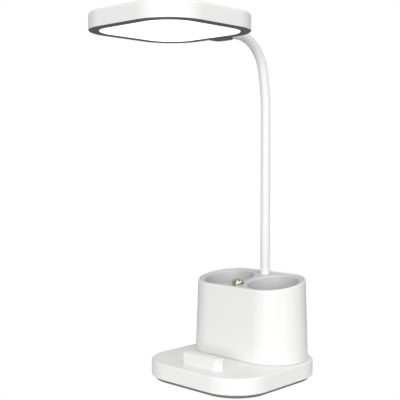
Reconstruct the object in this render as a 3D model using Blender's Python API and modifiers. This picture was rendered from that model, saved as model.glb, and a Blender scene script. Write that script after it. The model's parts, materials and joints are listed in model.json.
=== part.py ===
"""Desk lamp with a pen holder: rechargeable base, double pen cup, bendable arm and flat light head.

Metres, +Z up. The origin is at the middle of the underside, the front is -Y, the arm stands at the back.
"""
import math

import bmesh
import bpy
from mathutils import Matrix, Vector

MM = 0.001
QUARTER = math.pi / 2

# Fits that all pieces share
GAP = 0.3 * MM  # between pieces that seat on each other
OVERRUN = 1.0 * MM  # how far a cutter passes the face that it cuts
SAME_POINT = 0.001 * MM

# Facets
CORNER_STEPS = 7  # to a quarter turn of a large outline
SMALL_STEPS = 5  # to a quarter turn of a small outline
FILLET_STEPS = 3
CUP_STEPS = 28
TUBE_SIDES = 16
SMALL_SIDES = 8
GENTLE_STEPS = 3
TIGHT_STEPS = 10

# Base shell
BASE_SIDE = 140.0 * MM
BASE_CORNER = 39.3 * MM
BASE_TOP = 20.3 * MM
BASE_EDGE = 4.4 * MM  # height of the white shell's lower edge
BASE_FILLET = 2.2 * MM
BASE_WALL = 2.4 * MM
FLANGE_WIDTH = 7.0 * MM  # the shell's foot turns in by this much
FLANGE_THICK = 2.0 * MM
EDGE_CHAMFER = 0.4 * MM

# Phone stop, moulded on the deck
STOP_LENGTH = 46.6 * MM
STOP_DEPTH = 8.6 * MM
STOP_HEIGHT = 12.0 * MM
STOP_CORNER = 1.2 * MM
STOP_FILLET = 0.8 * MM
STOP_X = 7.2 * MM
STOP_MARGIN = 14.5 * MM  # from the base's front face

# Bottom cover and what it holds
PAD_PROUD = 0.5 * MM
PAD_THICK = 1.2 * MM
PAD_INSET = 22.0 * MM  # from the base's side faces
PAD_CORNER = 20.0 * MM
COVER_INSET = 4.2 * MM
COVER_CHAMFER = 0.6 * MM
COVER_THICK = 2.5 * MM
COVER_RIM = 2.0 * MM  # width and height of the rim that finds the shell
BALLAST_CORNER = 10.0 * MM
BALLAST_THICK = 3.0 * MM
BALLAST_END_ROOM = 4.7 * MM  # from each end to the cover's rim
BALLAST_FRONT_ROOM = 1.0 * MM  # to the front screw bosses
BALLAST_BACK_ROOM = 7.0 * MM  # to the back screw bosses

# Screws: head radius, head height, shank radius, shank length
COVER_SCREW = (3.0 * MM, 1.4 * MM, 1.5 * MM, 8.0 * MM)
HOLDER_SCREW = (3.0 * MM, 1.6 * MM, 1.5 * MM, 9.0 * MM)
CLAMP_SCREW = (2.0 * MM, 0.9 * MM, 1.0 * MM, 6.0 * MM)
BOARD_SCREW_HEAD = (2.0 * MM, 1.2 * MM, 1.1 * MM)
BOSS_WALL = 2.2 * MM
COVER_SCREW_INSET = 25.0 * MM  # from the base's side faces, along X and along Y

# Battery and charging
BATTERY_LENGTH = 58.0 * MM
BATTERY_WIDTH = 34.0 * MM
BATTERY_THICK = 7.4 * MM
BATTERY_ROUND = 1.5 * MM
BATTERY_SIDE_MARGIN = 9.0 * MM  # from the ballast's left end
BATTERY_FRONT_MARGIN = 11.0 * MM  # from the ballast's front edge
BOARD_LENGTH = 44.0 * MM
BOARD_WIDTH = 24.0 * MM
BOARD_THICK = 1.6 * MM
BOARD_LEG = 4.4 * MM
BOARD_LEG_RADIUS = 2.0 * MM
BOARD_LEG_REACH = 17.0 * MM
BOARD_BACK = 5.0 * MM  # from the base's back face to the board
SOCKET_WIDTH = 9.0 * MM
SOCKET_HEIGHT = 3.2 * MM
SOCKET_DEPTH = 7.4 * MM
SOCKET_WALL = 0.35 * MM
SOCKET_TONGUE = 0.7 * MM
SOCKET_TONGUE_WIDTH = 6.6 * MM
SOCKET_SUNK = 0.6 * MM
CHIP_SIDE = 5.0 * MM
CHIP_THICK = 1.0 * MM

# Pen holder
HOLDER_MARGIN = 5.0 * MM  # from the base's back face to the holder's foot
HOLDER_REACH = 30.0 * MM  # from the middle to each cup's axis
HOLDER_FOOT_RADIUS = 36.0 * MM
HOLDER_RIM_RADIUS = 33.2 * MM
HOLDER_RIM = 98.7 * MM  # height of the rim above the cups' axes
HOLDER_RISE = 0.15  # slope of the rim, up towards the back
HOLDER_WALL = 2.6 * MM
LIP_WALL = 1.6 * MM
LIP_ROUND = 0.5 * MM
DECK_SUNK = 0.8 * MM
DECK_THICK = 2.2 * MM
CUP_RADIUS = 26.3 * MM
CUP_DRAFT = 1.0 * MM  # the cup is this much narrower at its floor
CUP_WALL = 1.8 * MM
CUP_FLOOR = 26.0 * MM
CUP_FLOOR_ROUND = 3.0 * MM
CUP_LIP = 2.0 * MM
FOOT_BOSS_HEIGHT = 13.0 * MM
FOOT_BOSS_REACH = 24.0 * MM  # from the holder's middle to its screws; the arm stands over the back one
RIB_THICK = 2.0 * MM
WIRE_HOLE = 3.0 * MM
WIRE_HOLE_REACH = 14.0 * MM  # behind the holder's middle

# Button and its switch, placed along the deck's normal
BUTTON_REACH = 20.0 * MM  # in front of the holder's middle
BUTTON_RADIUS = 5.4 * MM
BUTTON_CLEAR = 0.35 * MM
BUTTON_PROUD = 5.2 * MM
BUTTON_DOME = 4.6 * MM  # height of the rounded part
BUTTON_FLANGE = 0.8 * MM  # wider than the cap by this much, and as thick
BUTTON_STEM = 1.6 * MM
BUTTON_TRAVEL = 0.8 * MM
SWITCH_SIDE = 6.0 * MM
SWITCH_BODY = 3.0 * MM
SWITCH_PLUNGER = 1.75 * MM
SWITCH_PLUNGER_TALL = 1.3 * MM
SWITCH_BOARD_WIDTH = 6.8 * MM
SWITCH_BOARD_LENGTH = 18.4 * MM
SWITCH_BOARD_THICK = 1.2 * MM
POST_RADIUS = 1.3 * MM
POST_REACH = 7.8 * MM
POST_PIN = 0.7 * MM

# Bendable arm
ARM_REACH = 62.5 * MM  # from the arm's foot forward to the tongue's end
NECK_RADIUS = 5.0 * MM
SLEEVE_BORE = 3.6 * MM
CORE_RADIUS = 3.3 * MM
SOCKET_PLAY = 0.3 * MM
NECK_SINK = 1.6 * MM  # how deep each end of the sleeve sits in its seat
NECK_RISE = 170.1 * MM
GENTLE_RADIUS = 215.0 * MM
GENTLE_ANGLE = math.radians(12.9)
TIGHT_RADIUS = 41.3 * MM
JOINT_SHARES = (0.07, 0.195, 0.32, 0.445, 0.577, 0.702, 0.815, 0.9)  # of the arm's length
CORE_TIP = 2.0 * MM  # how far a core reaches past the joint at its top, inside the rounded end
FERRULE_RADIUS = 3.4 * MM
FERRULE_BORE = 2.2 * MM
FERRULE_LENGTH = 30.0 * MM
NECK_BOSS_RADIUS = 6.0 * MM
NECK_BOSS_LENGTH = 22.0 * MM
NUT_RADIUS = 5.8 * MM
NUT_HEIGHT = 3.6 * MM

# Light head
HEAD_SIDE = 130.0 * MM
HEAD_CORNER = 39.5 * MM
ARM_ABOVE_FACE = 7.94 * MM  # from the bezel's face up to the arm's axis
HEAD_SHADOW = 0.6 * MM  # the white shell starts this far above the bezel's face
HEAD_WALL_TALL = 13.7 * MM  # from the bezel's face to the start of the fillet
HEAD_FILLET = 2.9 * MM
HEAD_CROWN = 1.0 * MM
CROWN_SHARES = (0.32, 0.70)  # of half the head's side, where the crown has its rings
HEAD_WALL = 2.0 * MM
BEZEL_STEP = 0.5 * MM
BEZEL_WIDTH = 9.8 * MM
BEZEL_THICK = 1.6 * MM
BEZEL_WALL = 1.6 * MM
BEZEL_WALL_TALL = 5.0 * MM
BEZEL_CHAMFER = 0.3 * MM
DIFFUSER_PLAY = 0.2 * MM
DIFFUSER_FLANGE = 1.2 * MM
DIFFUSER_THICK = 1.6 * MM
TONGUE_WIDTH = 22.0 * MM
TONGUE_REACH = 13.9 * MM  # how far it stands out of the shell's back
TONGUE_CORNER = 5.0 * MM
TONGUE_TALL = 14.2 * MM
TONGUE_FILLET = 1.2 * MM
SADDLE_LENGTH = 29.5 * MM  # from the tongue's end to the end of the arm's saddle
END_FERRULE_TAIL = 1.5 * MM
CLAMP_LENGTH = 9.0 * MM
CLAMP_TALL = 4.9 * MM
CLAMP_SCREW_REACH = 7.6 * MM
LED_BOARD_SIDE = 92.0 * MM
LED_BOARD_CORNER = 22.0 * MM
LED_BOARD_THICK = 1.2 * MM
LED_BOSS_TALL = 3.8 * MM  # from the shell's ceiling down to the board
LED_LENGTH = 3.5 * MM
LED_WIDTH = 2.8 * MM
LED_TALL = 0.8 * MM
LED_COUNT = 4
LED_PITCH = 18.0 * MM
BOARD_SCREW_REACH = 36.0 * MM

COVER_TOP = PAD_PROUD + COVER_THICK
COVER_SCREW_REACH = BASE_SIDE / 2 - COVER_SCREW_INSET
COVER_BOSS_RADIUS = COVER_SCREW[2] + GAP + BOSS_WALL
STOP_Y = STOP_MARGIN + STOP_DEPTH / 2 - BASE_SIDE / 2
BALLAST_LENGTH = BASE_SIDE - 2 * (FLANGE_WIDTH + GAP + COVER_RIM + BALLAST_END_ROOM)
BALLAST_FRONT = COVER_BOSS_RADIUS + BALLAST_FRONT_ROOM - COVER_SCREW_REACH
BALLAST_BACK = COVER_SCREW_REACH - COVER_BOSS_RADIUS - BALLAST_BACK_ROOM
HOLDER_Y = BASE_SIDE / 2 - HOLDER_MARGIN - HOLDER_FOOT_RADIUS
FRONT_BOSS_Y = HOLDER_Y - FOOT_BOSS_REACH
NECK_Y = HOLDER_Y + FOOT_BOSS_REACH
BUTTON_Y = HOLDER_Y - BUTTON_REACH
HOLDER_FOOT = BASE_TOP + GAP
DECK_RADIUS = HOLDER_RIM_RADIUS - LIP_WALL - GAP
DECK_TOP = HOLDER_RIM - DECK_SUNK
DECK_TILT = math.atan(HOLDER_RISE)
DECK_NORMAL = Vector((0, -math.sin(DECK_TILT), math.cos(DECK_TILT)))
TIGHT_ANGLE = QUARTER - GENTLE_ANGLE
TONGUE_END = NECK_Y - ARM_REACH
SADDLE_END = TONGUE_END - SADDLE_LENGTH
HEAD_BACK = TONGUE_END - TONGUE_REACH
HEAD_Y = HEAD_BACK - HEAD_SIDE / 2
BOARD_SCREW = (*BOARD_SCREW_HEAD, LED_BOSS_TALL + LED_BOARD_THICK + GAP + GAP - OVERRUN)


def wipe_scene():
    for item in list(bpy.data.objects):
        bpy.data.objects.remove(item, do_unlink=True)


def collection(name):
    found = bpy.data.collections.get(name)
    if found is None:
        found = bpy.data.collections.new(name)
        bpy.context.scene.collection.children.link(found)
    return found


def material(name, colour, roughness, metallic=0.0):
    made = bpy.data.materials.get(name)
    if made is None:
        made = bpy.data.materials.new(name)
        made.use_nodes = True
        shader = made.node_tree.nodes["Principled BSDF"]
        shader.inputs["Base Color"].default_value = (*colour, 1.0)
        shader.inputs["Roughness"].default_value = roughness
        shader.inputs["Metallic"].default_value = metallic
    return made


def white_plastic():
    return material("white_plastic", (0.84, 0.84, 0.83), 0.38)


def grey_plastic():
    return material("grey_plastic", (0.52, 0.52, 0.52), 0.45)


def dark_plastic():
    return material("dark_plastic", (0.075, 0.075, 0.08), 0.5)


def silicone():
    return material("white_silicone", (0.80, 0.80, 0.79), 0.55)


def opal():
    return material("opal", (0.95, 0.95, 0.94), 0.3)


def steel():
    return material("steel", (0.56, 0.56, 0.57), 0.32, 1.0)


def polished():
    return material("polished_metal", (0.72, 0.70, 0.62), 0.12, 1.0)


def circuit_board():
    return material("circuit_board", (0.05, 0.20, 0.10), 0.55)


def foil():
    return material("battery_foil", (0.30, 0.42, 0.55), 0.4)


def rubber():
    return material("rubber", (0.05, 0.05, 0.05), 0.8)


def shade(mesh):
    mesh.shade_smooth()
    mesh.set_sharp_from_angle(angle=math.radians(35))


def add_object(name, mesh, finish, group="desk_lamp"):
    made = bpy.data.objects.new(name, mesh)
    collection(group).objects.link(made)
    if finish is not None:
        mesh.materials.append(finish)
        shade(mesh)
    return made


def add_bmesh(name, shape, finish=None):
    """Give a bmesh an object; one with no finish is a cutter or a piece to be joined."""
    bmesh.ops.recalc_face_normals(shape, faces=shape.faces)
    mesh = bpy.data.meshes.new(name)
    shape.to_mesh(mesh)
    shape.free()
    if finish is not None:
        return add_object(name, mesh, finish)
    made = add_object(name, mesh, None, "cutters")
    made.hide_render = True
    made.display_type = "WIRE"
    return made


def outline(half_x, half_y, corner, height, centre=(0, 0), steps=CORNER_STEPS):
    """Points of a rounded rectangle, or of an oval where the corner is as large as half_y.

    Four corners can be given, from the back right one round to the front right one.
    """
    points = []
    radii = corner if isinstance(corner, tuple) else (corner,) * 4
    for quarter, (side_x, side_y) in enumerate(((1, 1), (-1, 1), (-1, -1), (1, -1))):
        radius = radii[quarter]
        middle_x = centre[0] + side_x * (half_x - radius)
        middle_y = centre[1] + side_y * (half_y - radius)
        for step in range(steps + 1):
            angle = (quarter + step / steps) * QUARTER
            point = Vector((middle_x + radius * math.cos(angle), middle_y + radius * math.sin(angle), height))
            if not points or (point - points[-1]).length > SAME_POINT:
                points.append(point)
    if (points[0] - points[-1]).length <= SAME_POINT:
        points.pop()
    return points


def loft(name, rings, finish=None, closed=False):
    """Skin a stack of rings; a closed stack comes back to its first ring, an open one is capped."""
    shape = bmesh.new()
    rows = [[shape.verts.new(point) for point in ring] for ring in rings]
    for low, high in zip(rows, rows[1:] + rows[:1] if closed else rows[1:]):
        for here in range(len(low)):
            there = (here + 1) % len(low)
            shape.faces.new((low[here], low[there], high[there], high[here]))
    if not closed:
        shape.faces.new(rows[0])
        shape.faces.new(rows[-1])
    return add_bmesh(name, shape, finish)


def cylinder(name, radius, bottom, top, finish=None, sides=TUBE_SIDES):
    """A round bar between two points."""
    axis = Vector(top) - Vector(bottom)
    turn = axis.to_track_quat("Z", "Y").to_matrix().to_4x4()
    place = Matrix.Translation((Vector(bottom) + Vector(top)) / 2) @ turn
    shape = bmesh.new()
    bmesh.ops.create_cone(
        shape, cap_ends=True, segments=sides, radius1=radius, radius2=radius, depth=axis.length, matrix=place
    )
    return add_bmesh(name, shape, finish)


def box(name, low, high, finish=None):
    """A block between two corners."""
    low, high = Vector(low), Vector(high)
    place = Matrix.Translation((low + high) / 2) @ Matrix.Diagonal((*(high - low), 1))
    shape = bmesh.new()
    bmesh.ops.create_cube(shape, size=1, matrix=place)
    return add_bmesh(name, shape, finish)


def turned(name, profile, finish=None, steps=TUBE_SIDES, place=Matrix()):
    """Turn a profile of (radius, height) points, bottom on the axis to top on the axis, about Z."""
    shape = bmesh.new()
    points = [shape.verts.new((radius, 0, height)) for radius, height in reversed(profile)]
    for upper, lower in zip(points, points[1:]):
        shape.edges.new((upper, lower))
    mesh = bpy.data.meshes.new(name)
    shape.to_mesh(mesh)
    shape.free()
    made = add_object(name, mesh, None, "desk_lamp" if finish else "cutters")
    screw = made.modifiers.new("turn", "SCREW")
    screw.steps = steps
    screw.render_steps = steps
    screw.use_merge_vertices = True
    screw.merge_threshold = SAME_POINT
    bake(made)
    made.data.transform(place)
    if finish is None:
        made.hide_render = True
        made.display_type = "WIRE"
    else:
        made.data.materials.append(finish)
        shade(made.data)
    return made


def bake(made):
    """Put an object's evaluated mesh in place of its modifiers."""
    graph = bpy.context.evaluated_depsgraph_get()
    graph.update()
    mesh = bpy.data.meshes.new_from_object(made.evaluated_get(graph))
    made.modifiers.clear()
    made.data = mesh


def combine(made, others, operation):
    for other in others:
        boolean = made.modifiers.new(other.name, "BOOLEAN")
        boolean.operation = operation
        boolean.object = other


def join(made, *others):
    combine(made, others, "UNION")


def cut(made, *others):
    combine(made, others, "DIFFERENCE")


def soften(made, width, segments=2):
    bevel = made.modifiers.new("rounded_edges", "BEVEL")
    bevel.width = width
    bevel.segments = segments
    bevel.limit_method = "ANGLE"
    bevel.use_clamp_overlap = True


def fillet(radius, steps=FILLET_STEPS):
    """(inset, drop) pairs round a quarter fillet, from its side face to its top face."""
    pairs = []
    for step in range(steps + 1):
        angle = step / steps * QUARTER
        pairs.append((radius * (1 - math.cos(angle)), radius * (1 - math.sin(angle))))
    return pairs


def base_ring(inset, height):
    half = BASE_SIDE / 2 - inset
    return outline(half, half, BASE_CORNER - inset, height)


def head_ring(inset, height):
    half = HEAD_SIDE / 2 - inset
    return outline(half, half, HEAD_CORNER - inset, height, (0, HEAD_Y))


def holder_radius(height):
    """Outer radius of the holder's round ends at a height, before its rim is sloped."""
    share = (height - HOLDER_FOOT) / (HOLDER_RIM - HOLDER_FOOT)
    return HOLDER_FOOT_RADIUS + share * (HOLDER_RIM_RADIUS - HOLDER_FOOT_RADIUS)


def holder_ring(radius, height):
    return outline(HOLDER_REACH + radius, radius, radius, height, (0, HOLDER_Y))


def slope_rim(made):
    """Raise a level piece of the holder at the back and lower it at the front, more so higher up."""
    for vertex in made.data.vertices:
        share = (vertex.co.z - HOLDER_FOOT) / (HOLDER_RIM - HOLDER_FOOT)
        vertex.co.z += share * HOLDER_RISE * (vertex.co.y - HOLDER_Y)


def deck_height(y):
    share = (DECK_TOP - HOLDER_FOOT) / (HOLDER_RIM - HOLDER_FOOT)
    return DECK_TOP + share * HOLDER_RISE * (y - HOLDER_Y)


def corners(reach, centre_y=0):
    return [(side_x * reach, centre_y + side_y * reach) for side_y in (-1, 1) for side_x in (-1, 1)]


def screw(name, size, place):
    """A pan-head screw whose head stands on z = 0 and whose shank points down, then placed."""
    head_radius, head_height, shank_radius, length = size
    profile = (
        (0, -length),
        (shank_radius / 2, -length),
        (shank_radius, -length + shank_radius),
        (shank_radius, 0),
        (head_radius, 0),
        (head_radius, head_height / 2),
        (head_radius / 2, head_height),
        (0, head_height),
    )
    return turned(name, profile, steel(), SMALL_SIDES, place)


def upward(x, y, z):
    return Matrix.Translation((x, y, z))


def downward(x, y, z):
    return Matrix.Translation((x, y, z)) @ Matrix.Rotation(math.pi, 4, "X")


def base_shell():
    ceiling = BASE_TOP - BASE_WALL
    flange_top = BASE_EDGE + FLANGE_THICK
    rings = [base_ring(BASE_WALL + BASE_FILLET, ceiling), base_ring(BASE_WALL, ceiling - BASE_FILLET)]
    rings += [base_ring(BASE_WALL, flange_top), base_ring(FLANGE_WIDTH, flange_top)]
    rings += [base_ring(FLANGE_WIDTH, BASE_EDGE), base_ring(EDGE_CHAMFER, BASE_EDGE)]
    rings += [base_ring(0, BASE_EDGE + EDGE_CHAMFER)]
    rings += [base_ring(inset, BASE_TOP - drop) for inset, drop in fillet(BASE_FILLET)]
    shell = loft("base_shell", rings, white_plastic())
    join(shell, phone_stop())
    bore = COVER_SCREW[2] + GAP
    boss_foot = COVER_TOP + GAP
    bore_top = PAD_PROUD + COVER_SCREW[3] + OVERRUN * 2
    for number, (x, y) in enumerate(corners(COVER_SCREW_REACH), 1):
        top = ceiling + BASE_WALL / 2
        join(shell, cylinder(f"cover_boss_{number}", COVER_BOSS_RADIUS, (x, y, boss_foot), (x, y, top)))
        cut(shell, cylinder(f"cover_bore_{number}", bore, (x, y, boss_foot - OVERRUN), (x, y, bore_top)))
    for name, y, radius in (
        ("front_screw_hole", FRONT_BOSS_Y, HOLDER_SCREW[2] + GAP),
        ("back_screw_hole", NECK_Y, HOLDER_SCREW[2] + GAP),
        ("wire_hole", HOLDER_Y + WIRE_HOLE_REACH, WIRE_HOLE),
    ):
        cut(shell, cylinder(name, radius, (0, y, ceiling - OVERRUN), (0, y, BASE_TOP + OVERRUN)))
    cut(shell, port_cutter())
    return shell


def phone_stop():
    rings = [stop_ring(0, BASE_TOP - OVERRUN)]
    rings += [stop_ring(inset, BASE_TOP + STOP_HEIGHT - drop) for inset, drop in fillet(STOP_FILLET)]
    return loft("phone_stop", rings)


def stop_ring(inset, height):
    corner = STOP_CORNER - inset
    round_end = STOP_DEPTH - STOP_CORNER - GAP - inset
    radii = (corner, corner, corner, round_end)
    return outline(STOP_LENGTH / 2 - inset, STOP_DEPTH / 2 - inset, radii, height, (STOP_X, STOP_Y), SMALL_STEPS)


def socket_ring(grow, y):
    """Outline of the charging socket, standing up at a distance y from the middle."""
    half_height = SOCKET_HEIGHT / 2 + grow
    flat = outline(SOCKET_WIDTH / 2 + grow, half_height, half_height, 0, steps=FILLET_STEPS)
    return [Vector((point.x, y, socket_height() + point.y)) for point in flat]


def board_height():
    return COVER_TOP + BOARD_LEG + GAP


def socket_height():
    return board_height() + BOARD_THICK + GAP + SOCKET_HEIGHT / 2


def port_cutter():
    back = BASE_SIDE / 2
    rings = [socket_ring(GAP, back - BASE_WALL - OVERRUN), socket_ring(GAP, back + OVERRUN)]
    return loft("port_cutter", rings)


def pad_ring(grow, height):
    half = BASE_SIDE / 2 - PAD_INSET + grow
    return outline(half, half, PAD_CORNER + grow, height)


def bottom_cover():
    inner = FLANGE_WIDTH + GAP
    under_shell = BASE_EDGE - GAP
    rings = [base_ring(COVER_INSET + COVER_CHAMFER, PAD_PROUD), base_ring(COVER_INSET, PAD_PROUD + COVER_CHAMFER)]
    rings += [base_ring(COVER_INSET, under_shell), base_ring(inner, under_shell)]
    rings += [base_ring(inner, under_shell + COVER_RIM), base_ring(inner + COVER_RIM, under_shell + COVER_RIM)]
    rings += [base_ring(inner + COVER_RIM, COVER_TOP)]
    cover = loft("bottom_cover", rings, dark_plastic())
    recess = [pad_ring(GAP, z) for z in (PAD_PROUD - OVERRUN, PAD_THICK + GAP)]
    cut(cover, loft("pad_recess", recess))
    head_radius, head_height, shank_radius, _ = COVER_SCREW
    for number, (x, y) in enumerate(corners(COVER_SCREW_REACH), 1):
        seat = PAD_PROUD + head_height + GAP / 2
        bottom = (x, y, PAD_PROUD - OVERRUN)
        cut(cover, cylinder(f"head_recess_{number}", head_radius + GAP, bottom, (x, y, seat)))
        cut(cover, cylinder(f"shank_hole_{number}", shank_radius + GAP, bottom, (x, y, COVER_TOP + OVERRUN)))
    for number, x in enumerate((-BOARD_LEG_REACH, BOARD_LEG_REACH), 1):
        foot, top = (x, board_y(), COVER_TOP - OVERRUN), (x, board_y(), COVER_TOP + BOARD_LEG)
        join(cover, cylinder(f"board_leg_{number}", BOARD_LEG_RADIUS, foot, top))
    return cover


def anti_slip_pad():
    return loft("anti_slip_pad", [pad_ring(0, z) for z in (0, PAD_THICK)], rubber())


def ballast_plate():
    foot = COVER_TOP + GAP
    half_y = (BALLAST_BACK - BALLAST_FRONT) / 2
    middle = (0, (BALLAST_BACK + BALLAST_FRONT) / 2)
    rings = [
        outline(BALLAST_LENGTH / 2, half_y, BALLAST_CORNER, z, middle, FILLET_STEPS) for z in (foot, foot + BALLAST_THICK)
    ]
    return loft("ballast_plate", rings, steel())


def cover_screws():
    head = PAD_PROUD + COVER_SCREW[1]
    for number, (x, y) in enumerate(corners(COVER_SCREW_REACH), 1):
        screw(f"cover_screw_{number}", COVER_SCREW, downward(x, y, head))


def board_y():
    return BASE_SIDE / 2 - BOARD_BACK - BOARD_WIDTH / 2


def battery_pack():
    foot = COVER_TOP + BALLAST_THICK + 2 * GAP
    low = Vector((BATTERY_SIDE_MARGIN - BALLAST_LENGTH / 2, BALLAST_FRONT + BATTERY_FRONT_MARGIN, foot))
    high = low + Vector((BATTERY_LENGTH, BATTERY_WIDTH, BATTERY_THICK))
    soften(box("battery_pack", low, high, foil()), BATTERY_ROUND)


def control_board():
    low = (-BOARD_LENGTH / 2, board_y() - BOARD_WIDTH / 2, board_height())
    high = (BOARD_LENGTH / 2, board_y() + BOARD_WIDTH / 2, board_height() + BOARD_THICK)
    board = box("control_board", low, high, circuit_board())
    top = high[2]
    half = CHIP_SIDE / 2
    for number, x in enumerate((-BOARD_LEG_REACH + CHIP_SIDE, BOARD_LEG_REACH - CHIP_SIDE), 1):
        chip_low = (x - half, board_y() - half, top - BOARD_THICK / 2)
        chip_high = (x + half, board_y() + half, top + CHIP_THICK)
        join(board, box(f"chip_{number}", chip_low, chip_high))


def charging_socket():
    """A metal shell, open at the back of the base, with the contact tongue inside."""
    mouth = BASE_SIDE / 2 - SOCKET_SUNK
    back = mouth - SOCKET_DEPTH
    floor = back + SOCKET_WALL * 2
    rings = [socket_ring(-SOCKET_WALL, floor), socket_ring(-SOCKET_WALL, mouth)]
    rings += [socket_ring(0, mouth), socket_ring(0, back)]
    shell = loft("charging_socket", rings, steel())
    half_tall = SOCKET_TONGUE / 2
    half_wide = SOCKET_TONGUE_WIDTH / 2
    low = (-half_wide, floor - SOCKET_WALL, socket_height() - half_tall)
    high = (half_wide, mouth - SOCKET_WALL, socket_height() + half_tall)
    join(shell, box("contact_tongue", low, high))


def holder_shell():
    """Tapered oval sleeve: one wall, a thin lip round the insert, and a screw boss at front and back."""
    ledge = DECK_TOP - DECK_THICK - GAP
    lip_inner = HOLDER_RIM_RADIUS - LIP_WALL
    rings = [holder_ring(holder_radius(HOLDER_FOOT) - HOLDER_WALL, HOLDER_FOOT)]
    rings += [holder_ring(holder_radius(HOLDER_FOOT), HOLDER_FOOT)]
    rings += [holder_ring(holder_radius(HOLDER_RIM - LIP_ROUND), HOLDER_RIM - LIP_ROUND)]
    rings += [holder_ring(HOLDER_RIM_RADIUS - LIP_ROUND, HOLDER_RIM)]
    rings += [holder_ring(lip_inner + LIP_ROUND / 2, HOLDER_RIM), holder_ring(lip_inner, HOLDER_RIM - LIP_ROUND / 2)]
    rings += [holder_ring(lip_inner, ledge), holder_ring(holder_radius(ledge) - HOLDER_WALL, ledge)]
    shell = loft("holder_shell", rings, white_plastic(), closed=True)
    slope_rim(shell)
    bore = HOLDER_SCREW[2] + GAP
    top = HOLDER_FOOT + FOOT_BOSS_HEIGHT
    half_rib = RIB_THICK / 2
    inner = holder_radius(top) - HOLDER_WALL / 2
    for name, y, wall_y in (
        ("front", FRONT_BOSS_Y, HOLDER_Y - inner),
        ("back", NECK_Y, HOLDER_Y + inner),
    ):
        boss = cylinder(f"{name}_foot_boss", bore + BOSS_WALL, (0, y, HOLDER_FOOT), (0, y, top))
        rib = box(f"{name}_foot_rib", (-half_rib, min(y, wall_y), HOLDER_FOOT), (half_rib, max(y, wall_y), top))
        join(shell, boss, rib)
        cut(shell, cylinder(f"{name}_foot_bore", bore, (0, y, HOLDER_FOOT - OVERRUN), (0, y, top + OVERRUN)))
    return shell


def holder_screws():
    ceiling = BASE_TOP - BASE_WALL
    for number, y in enumerate((FRONT_BOSS_Y, NECK_Y), 1):
        screw(f"holder_screw_{number}", HOLDER_SCREW, downward(0, y, ceiling - GAP))


def cup_axis(side):
    return upward(side * HOLDER_REACH, HOLDER_Y, 0)


def cup_hollow(side):
    """The space inside a cup, with its rounded floor, its draft and the flare of its lip."""
    floor_radius = CUP_RADIUS - CUP_DRAFT
    profile = [(0, CUP_FLOOR)]
    for inset, drop in reversed(fillet(CUP_FLOOR_ROUND)):
        profile.append((floor_radius - inset, CUP_FLOOR + drop))
    for inset, drop in fillet(CUP_LIP):
        profile.append((CUP_RADIUS + inset, DECK_TOP - drop))
    wide = CUP_RADIUS + CUP_LIP
    profile += [(wide, DECK_TOP + OVERRUN), (0, DECK_TOP + OVERRUN)]
    return turned(f"cup_hollow_{'left' if side < 0 else 'right'}", profile, None, CUP_STEPS, cup_axis(side))


def cup_body(side):
    """The outside of a cup, from under its floor into the deck."""
    foot = CUP_FLOOR - CUP_WALL
    foot_radius = CUP_RADIUS - CUP_DRAFT + CUP_WALL
    neck = DECK_TOP - DECK_THICK / 2
    profile = ((0, foot), (foot_radius - CUP_FLOOR_ROUND, foot), (foot_radius, foot + CUP_FLOOR_ROUND))
    profile += ((CUP_RADIUS + CUP_WALL, neck), (0, neck))
    return turned(f"cup_body_{'left' if side < 0 else 'right'}", profile, None, CUP_STEPS, cup_axis(side))


def on_deck(y, lift):
    """A point on the deck's middle line, lifted along the deck's normal."""
    return Vector((0, y, deck_height(y))) + DECK_NORMAL * lift


def switch_board_top():
    """How far the switch board's face lies below the deck's face."""
    return button_stem_end() + GAP + SWITCH_PLUNGER_TALL + SWITCH_BODY + BUTTON_TRAVEL


def button_stem_end():
    return DECK_THICK + GAP + BUTTON_FLANGE + BUTTON_STEM


def cup_insert():
    """The double cup: a deck that drops into the sleeve, two cups, the arm's boss and the switch posts."""
    deck = [holder_ring(DECK_RADIUS, z) for z in (DECK_TOP - DECK_THICK, DECK_TOP)]
    insert = loft("cup_insert", deck, grey_plastic())
    join(insert, cup_body(-1), cup_body(1))
    cut(insert, cup_hollow(-1), cup_hollow(1))
    bake(insert)
    slope_rim(insert)
    deck_low = deck_height(NECK_Y) - DECK_THICK
    seat = neck_foot() - GAP
    boss = cylinder(
        "neck_boss", NECK_BOSS_RADIUS, (0, NECK_Y, deck_low - NECK_BOSS_LENGTH), (0, NECK_Y, seat - GAP), sides=CUP_STEPS
    )
    join(insert, boss)
    high = deck_height(NECK_Y) + OVERRUN * 2
    cut(insert, cylinder("sleeve_seat", NECK_RADIUS + GAP, (0, NECK_Y, seat), (0, NECK_Y, high)))
    low = deck_low - NECK_BOSS_LENGTH - OVERRUN
    cut(insert, cylinder("ferrule_hole", FERRULE_RADIUS + GAP, (0, NECK_Y, low), (0, NECK_Y, high)))
    hole = BUTTON_RADIUS + BUTTON_CLEAR
    lower = on_deck(BUTTON_Y, -DECK_THICK - OVERRUN)
    cut(insert, cylinder("button_hole", hole, lower, on_deck(BUTTON_Y, OVERRUN * 2), sides=CUP_STEPS))
    for number, reach in enumerate((-POST_REACH, POST_REACH), 1):
        along = Vector((0, math.cos(DECK_TILT), math.sin(DECK_TILT))) * reach
        root = on_deck(BUTTON_Y, -DECK_THICK / 2) + along
        shoulder = on_deck(BUTTON_Y, GAP - switch_board_top()) + along
        tip = on_deck(BUTTON_Y, -switch_board_top() - SWITCH_BOARD_THICK - POST_PIN) + along
        join(insert, cylinder(f"post_{number}", POST_RADIUS, shoulder, root, sides=SMALL_SIDES))
        middle = (shoulder + root) / 2
        join(insert, cylinder(f"post_pin_{number}", POST_PIN, tip, middle, sides=SMALL_SIDES))
    return insert


def button_matrix():
    """Z along the deck's normal, with its origin on the deck's face at the button."""
    return Matrix.Translation(on_deck(BUTTON_Y, 0)) @ Matrix.Rotation(DECK_TILT, 4, "X")


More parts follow.
